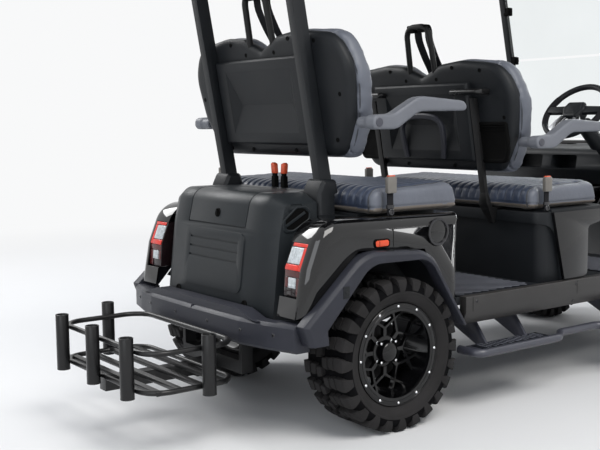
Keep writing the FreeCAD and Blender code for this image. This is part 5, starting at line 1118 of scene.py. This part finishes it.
def make_back_fittings():
    """Grab handles, pockets and the arched rib."""
    back = Back("front")
    handles, pockets, arch = Form(), Form(), Form()
    for side in (-1, 1):
        handles.tube([back.point(side * x, 0.362, out) for x, out in HANDLE], 0.0125)
        rings = []
        for grow, out in SEAT_POCKET_LEVELS:
            scale = 1 - grow / SEAT_POCKET_HALF
            drawn = [SEAT_POCKET_MIDDLE.lerp(p, scale) for p in rounded(SEAT_POCKET)]
            rings.append([back.point(side * p.x, p.y, out) for p in drawn])
        pockets.rings(rings)
        for height in (0.215, 0.2):
            middle = back.point(side * 0.4, height, 0.009)
            pockets.block(middle - Vector((0.08, 0.002, 0.0015)), middle + Vector((0.08, 0.0012, 0.0015)))
    handles.piece("grab_handles", [RACK], "body_matte", 0)
    pockets.piece("back_pockets", [SEAM], "body_matte", 0.001)
    path = smoothed([back.point(x, height, 0.029)
                     for x, height in (*((-x, height) for x, height in ARCH), *reversed(ARCH))])
    arch.ribbon(path, [BACK_NORMAL] * len(path), 0.026, 0.011, 0.004)
    arch.piece("back_arch", [FLARE], "body_matte", 0)


for row in ("rear", "front"):
    cushion, pad = make_cushion(row), make_back_pad(row)
    make_shell(row)
    make_piping(row, cushion, pad)
    make_belts(row, pad)
make_buckles()
make_back_fittings()

# Armrests: soft skins, with caps at their pins
ARM_CAP = ((0.0165, -0.003), (0.0165, 0.0012), (0.015, 0.0026), (0.0005, 0.0036))


def make_armrest(label, side, y, z):
    node = "armrest_" + label
    arm = remeshed("arm_" + label, node, ARM_VOXEL, 14)
    enter(arm, node, [node])
    form = Form()
    form.lathe(dropped(arm, (side * 0.9, y, z), (-side, 0, 0))[0], (side, 0, 0), ARM_CAP, 28)
    form.piece("armrest_cap_" + label, [STEP], "armrest_grey", 0, body=node)


for row, y, z in (("rear", 0.9495, 1.15), ("front", 0.0695, 1.06)):
    make_armrest(row + "_left", 1, y, z)
    make_armrest(row + "_right", -1, y, z)

# Steering wheel: centre, and directions up and towards the driver
STEER_CENTRE = Vector((-0.27, -0.5915, 1.19))
STEER_OUT = Vector((0, 0.743145, 0.669131))
STEER_UP = Vector((0, -0.669131, 0.743145))
HUB = ((-0.044, 0.04, 0.01), (-0.06, 0.0, 0.012), (-0.036, -0.046, 0.012), (0.036, -0.046, 0.012),
       (0.06, 0.0, 0.012), (0.044, 0.04, 0.01))
HUB_LEVELS = ((1.05, 0.0), (1.08, 0.012), (1.0, 0.02), (0.8, 0.0245), (0.76, 0.0225), (0.4, 0.026))
SPOKE = ((0.055, -0.02), (0.15, -0.016), (0.15, 0.018), (0.055, 0.022))
LOWER_SPOKE = ((0.02, -0.05), (0.052, -0.036), (0.072, -0.07), (0.088, -0.118), (0.06, -0.14),
               (0.045, -0.098))
SPOKE_BAR = ((-0.05, -0.1), (0.05, -0.1), (0.045, -0.118), (-0.045, -0.118))
RING_RADIUS, GRIP_RADIUS = 0.156, 0.0152


def on_wheel(corners, level, side=1):
    return on_plane(STEER_CENTRE + STEER_OUT * level, LEFT * side, STEER_UP, corners)


def make_steering_trim():
    hub, silver, grips = Form(), Form(), Form()
    outline = rounded(HUB)
    hub.rings([on_wheel([p * scale for p in outline], level) for scale, level in HUB_LEVELS])
    for side in (-1, 1):
        hub.prism(on_wheel(SPOKE, 0.001, side), STEER_OUT * 0.012)
        silver.prism(on_wheel(LOWER_SPOKE, 0.004, side), STEER_OUT * 0.01)
    silver.prism(on_wheel(SPOKE_BAR, 0.005), STEER_OUT * 0.008)
    for first, last in ((150, 215), (-35, 30)):
        angles = [math.radians(first + (last - first) * k / 16) for k in range(17)]
        grips.tube(on_wheel([(RING_RADIUS * math.cos(a), RING_RADIUS * math.sin(a)) for a in angles], 0),
                   GRIP_RADIUS, 14)
    hub.piece("steering_hub", [MOULDED], "body_matte", 0.0025, 3, body="steering_wheel")
    silver.piece("steering_spokes", [SATIN], "chrome", 0.002, 3, body="steering_wheel")
    grips.piece("steering_grips", [STRAP], "body_matte", 0, body="steering_wheel")


make_steering_trim()

# Ribbed mats in the foot wells, and the treads of the side steps
MAT_HALF, MAT_Z = 0.572, 0.4605
MAT_EDGE = 0.012
RIB_PITCH, RIB_HALF = 0.042, 0.0028
TREAD_PITCH, TREAD_Z = 0.022, 0.2502


def clipped(first, second, low, high):
    """Part of a straight line inside a rectangle, or nothing."""
    start, end = 0.0, 1.0
    for axis in (0, 1):
        run = second[axis] - first[axis]
        a, b = (low[axis] - first[axis]) / run, (high[axis] - first[axis]) / run
        start, end = max(start, min(a, b)), min(end, max(a, b))
    if end - start < 0.01:
        return None
    return first.lerp(second, start), first.lerp(second, end)


def make_mats():
    form = Form()
    for y0, y1 in ((0.045, 0.5), (-0.83, -0.455)):
        form.block((-MAT_HALF, y0, MAT_Z), (MAT_HALF, y1, MAT_Z + 0.0035))
        for k in range(-14, 42):
            start = Vector((k * RIB_PITCH - 0.9, y0 - 0.02))
            end = Vector((start.x + (y1 - y0 + 0.04) * 0.9, y1 + 0.02))
            line = clipped(start, end, (-MAT_HALF + MAT_EDGE, y0 + MAT_EDGE),
                           (MAT_HALF - MAT_EDGE, y1 - MAT_EDGE))
            if line is None:
                continue
            first, second = line
            side = Vector((second.y - first.y, first.x - second.x)).normalized() * RIB_HALF
            # Each rib takes the second surface: a painted highlight along the rib
            form.prism([(p.x, p.y, MAT_Z + 0.003) for p in (first - side, first + side, second + side,
                                                            second - side)], UP * 0.0026, mark=1)
    form.piece("floor_mats", [MAT, MAT_RIB_HIGHLIGHT], "body_matte", 0.0006, 1)


def make_step_treads():
    form = Form()
    for y0, y1 in ((0.0035, 0.4235), (-0.8165, -0.4565)):
        form.block((0.56, y0 + 0.014, 0.2475), (0.629, y1 - 0.014, 0.2505))
        count = int((y1 - y0 - 0.06) / TREAD_PITCH)
        for i in range(count):
            y = y0 + 0.03 + (y1 - y0 - 0.06) * (i + 0.5) / count
            for x in (0.572, 0.594, 0.616):
                x += 0.006 if i % 2 else -0.002
                # The tread blocks take the second surface: the painted rib highlight
                form.block((x - 0.009, y - 0.003, TREAD_Z), (x + 0.009, y + 0.003, TREAD_Z + 0.003), 1)
    form.mirror().piece("step_treads", [MAT, MAT_RIB_HIGHLIGHT], "rack_black", 0.0006, 1)


make_mats()
make_step_treads()


# Windscreen clamps and the mirrors
def make_cabin_trim():
    clamps, head, glass, outer = Form(), Form(), Form(), Form()
    for x in (-0.515, 0.515):
        for z in (1.2, 1.482, 1.75):
            y = -1.1515 + (z - 1.05) * 0.213
            clamps.block((x - 0.02, y - 0.012, z - 0.022), (x + 0.02, y + 0.022, z + 0.022))
    clamps.piece("screen_clamps", [SEAM], "body_matte", 0.004, 3)
    head.block((-0.15, -0.935, 1.855), (0.15, -0.912, 1.925))
    head.tube([(0, -0.93, 1.9), (0, -0.938, 1.95), (0, -0.95, 1.992)], 0.009)
    head.piece("inner_mirror", [MOULDED], "body_matte", 0.009, 3)
    glass.block((-0.142, -0.913, 1.862), (0.142, -0.9105, 1.918))
    glass.piece("inner_mirror_glass", [GLASS], "chrome", 0.001)
    outer.block((0.566, -1.1082, 1.267), (0.694, -1.1062, 1.343))
    outer.mirror().piece("mirror_glass", [GLASS], "chrome", 0.0008)


# End rims of the rack's rod holders
HOLDERS = ((-0.27, 1.7915), (0, 1.7915), (0.27, 1.7915), (-0.3963, 1.5385), (0.3963, 1.5385))


def make_rack_trim():
    form = Form()
    for x, y in HOLDERS:
        for z in (0.212, 0.424):
            form.hoop((x, y, z), UP, 0.0235, 0.0021, 0, 36, 8)
    form.piece("holder_rims", [RACK], "rack_black", 0)


make_cabin_trim()
make_rack_trim()

# Studio: white to the camera, to reflections and through glass, the floor keeping the shadow
WHITE = (0.94, 0.945, 0.95, 1)
FADE_START, FADE_END = 2.2, 7.5
FLOOR_HALF = 40.0
LIGHTS = (
    ("key", (-5.0, 1.0, 6.5), 4.0, 430.0, (1.0, 0.98, 0.95)),
    ("fill", (-4.0, 7.5, 3.5), 5.0, 190.0, (0.93, 0.96, 1.0)),
    ("rim", (5.0, 2.5, 5.0), 3.0, 240.0, (1.0, 1.0, 1.0)),
    ("front", (1.0, -7.0, 4.5), 4.0, 220.0, (1.0, 1.0, 1.0)),
)
LIGHTS_AIM = Vector((0, 0.3, 0.8))


def calculate(tree, operation, first, second):
    """Output of a node that works out one number from two."""
    sums = put(tree, "ShaderNodeMath")
    sums.operation = operation
    tree.links.new(first, sums.inputs[0])
    tree.links.new(second, sums.inputs[1])
    return sums.outputs[0]


def seen_rays(tree):
    """Strength 1 for camera, glossy and transmission rays."""
    path = put(tree, "ShaderNodeLightPath").outputs
    mirrored = calculate(tree, "MAXIMUM", path["Is Camera Ray"], path["Is Glossy Ray"])
    return calculate(tree, "MAXIMUM", mirrored, path["Is Transmission Ray"])


def mixed(tree, share, first, second, output):
    """Mix two shaders into the tree's output."""
    mix = put(tree, "ShaderNodeMixShader", Fac=share)
    tree.links.new(first, mix.inputs[1])
    tree.links.new(second, mix.inputs[2])
    tree.links.new(mix.outputs["Shader"], tree.nodes[output].inputs["Surface"])


def make_floor():
    mesh = bpy.data.meshes.new("floor")
    corners = rectangle(-FLOOR_HALF, -FLOOR_HALF, FLOOR_HALF, FLOOR_HALF)
    mesh.from_pydata([(x, y, 0) for x, y in corners], [], [(0, 1, 2, 3)])
    floor = link(bpy.data.objects.new("floor", mesh))
    surface = shade("floor_paint", (0.74, 0.745, 0.75), 0.8, vary=0.02, patch=0.6, grain=60.0)
    tree = surface.node_tree
    glow = put(tree, "ShaderNodeEmission", Color=WHITE, Strength=1.0)
    length = put(tree, "ShaderNodeVectorMath")
    length.operation = "LENGTH"
    tree.links.new(place_in(tree), length.inputs[0])
    fade = put(tree, "ShaderNodeMapRange", Value=length.outputs["Value"], From_Min=FADE_START,
               From_Max=FADE_END)
    fade.interpolation_type = "SMOOTHSTEP"
    share = calculate(tree, "MULTIPLY", fade.outputs["Result"], seen_rays(tree))
    mixed(tree, share, tree.nodes["Principled BSDF"].outputs["BSDF"], glow.outputs["Emission"],
          "Material Output")
    floor.data.materials.append(surface)


def make_world():
    world = bpy.data.worlds.new("studio")
    bpy.context.scene.world = world
    world.use_nodes = True
    tree = world.node_tree
    soft = tree.nodes["Background"]
    soft.inputs["Color"].default_value = (0.88, 0.92, 1.0, 1)
    soft.inputs["Strength"].default_value = 0.42
    white = put(tree, "ShaderNodeBackground", Color=WHITE, Strength=1.0)
    mixed(tree, seen_rays(tree), soft.outputs["Background"], white.outputs["Background"],
          "World Output")


def make_lights():
    for name, place, size, power, colour in LIGHTS:
        lamp = bpy.data.lights.new(name, "AREA")
        lamp.energy = power
        lamp.size = size
        lamp.color = colour
        thing = link(bpy.data.objects.new(name, lamp))
        thing.location = place
        thing.rotation_euler = (LIGHTS_AIM - Vector(place)).to_track_quat("-Z", "Y").to_euler()


make_floor()
make_world()
make_lights()
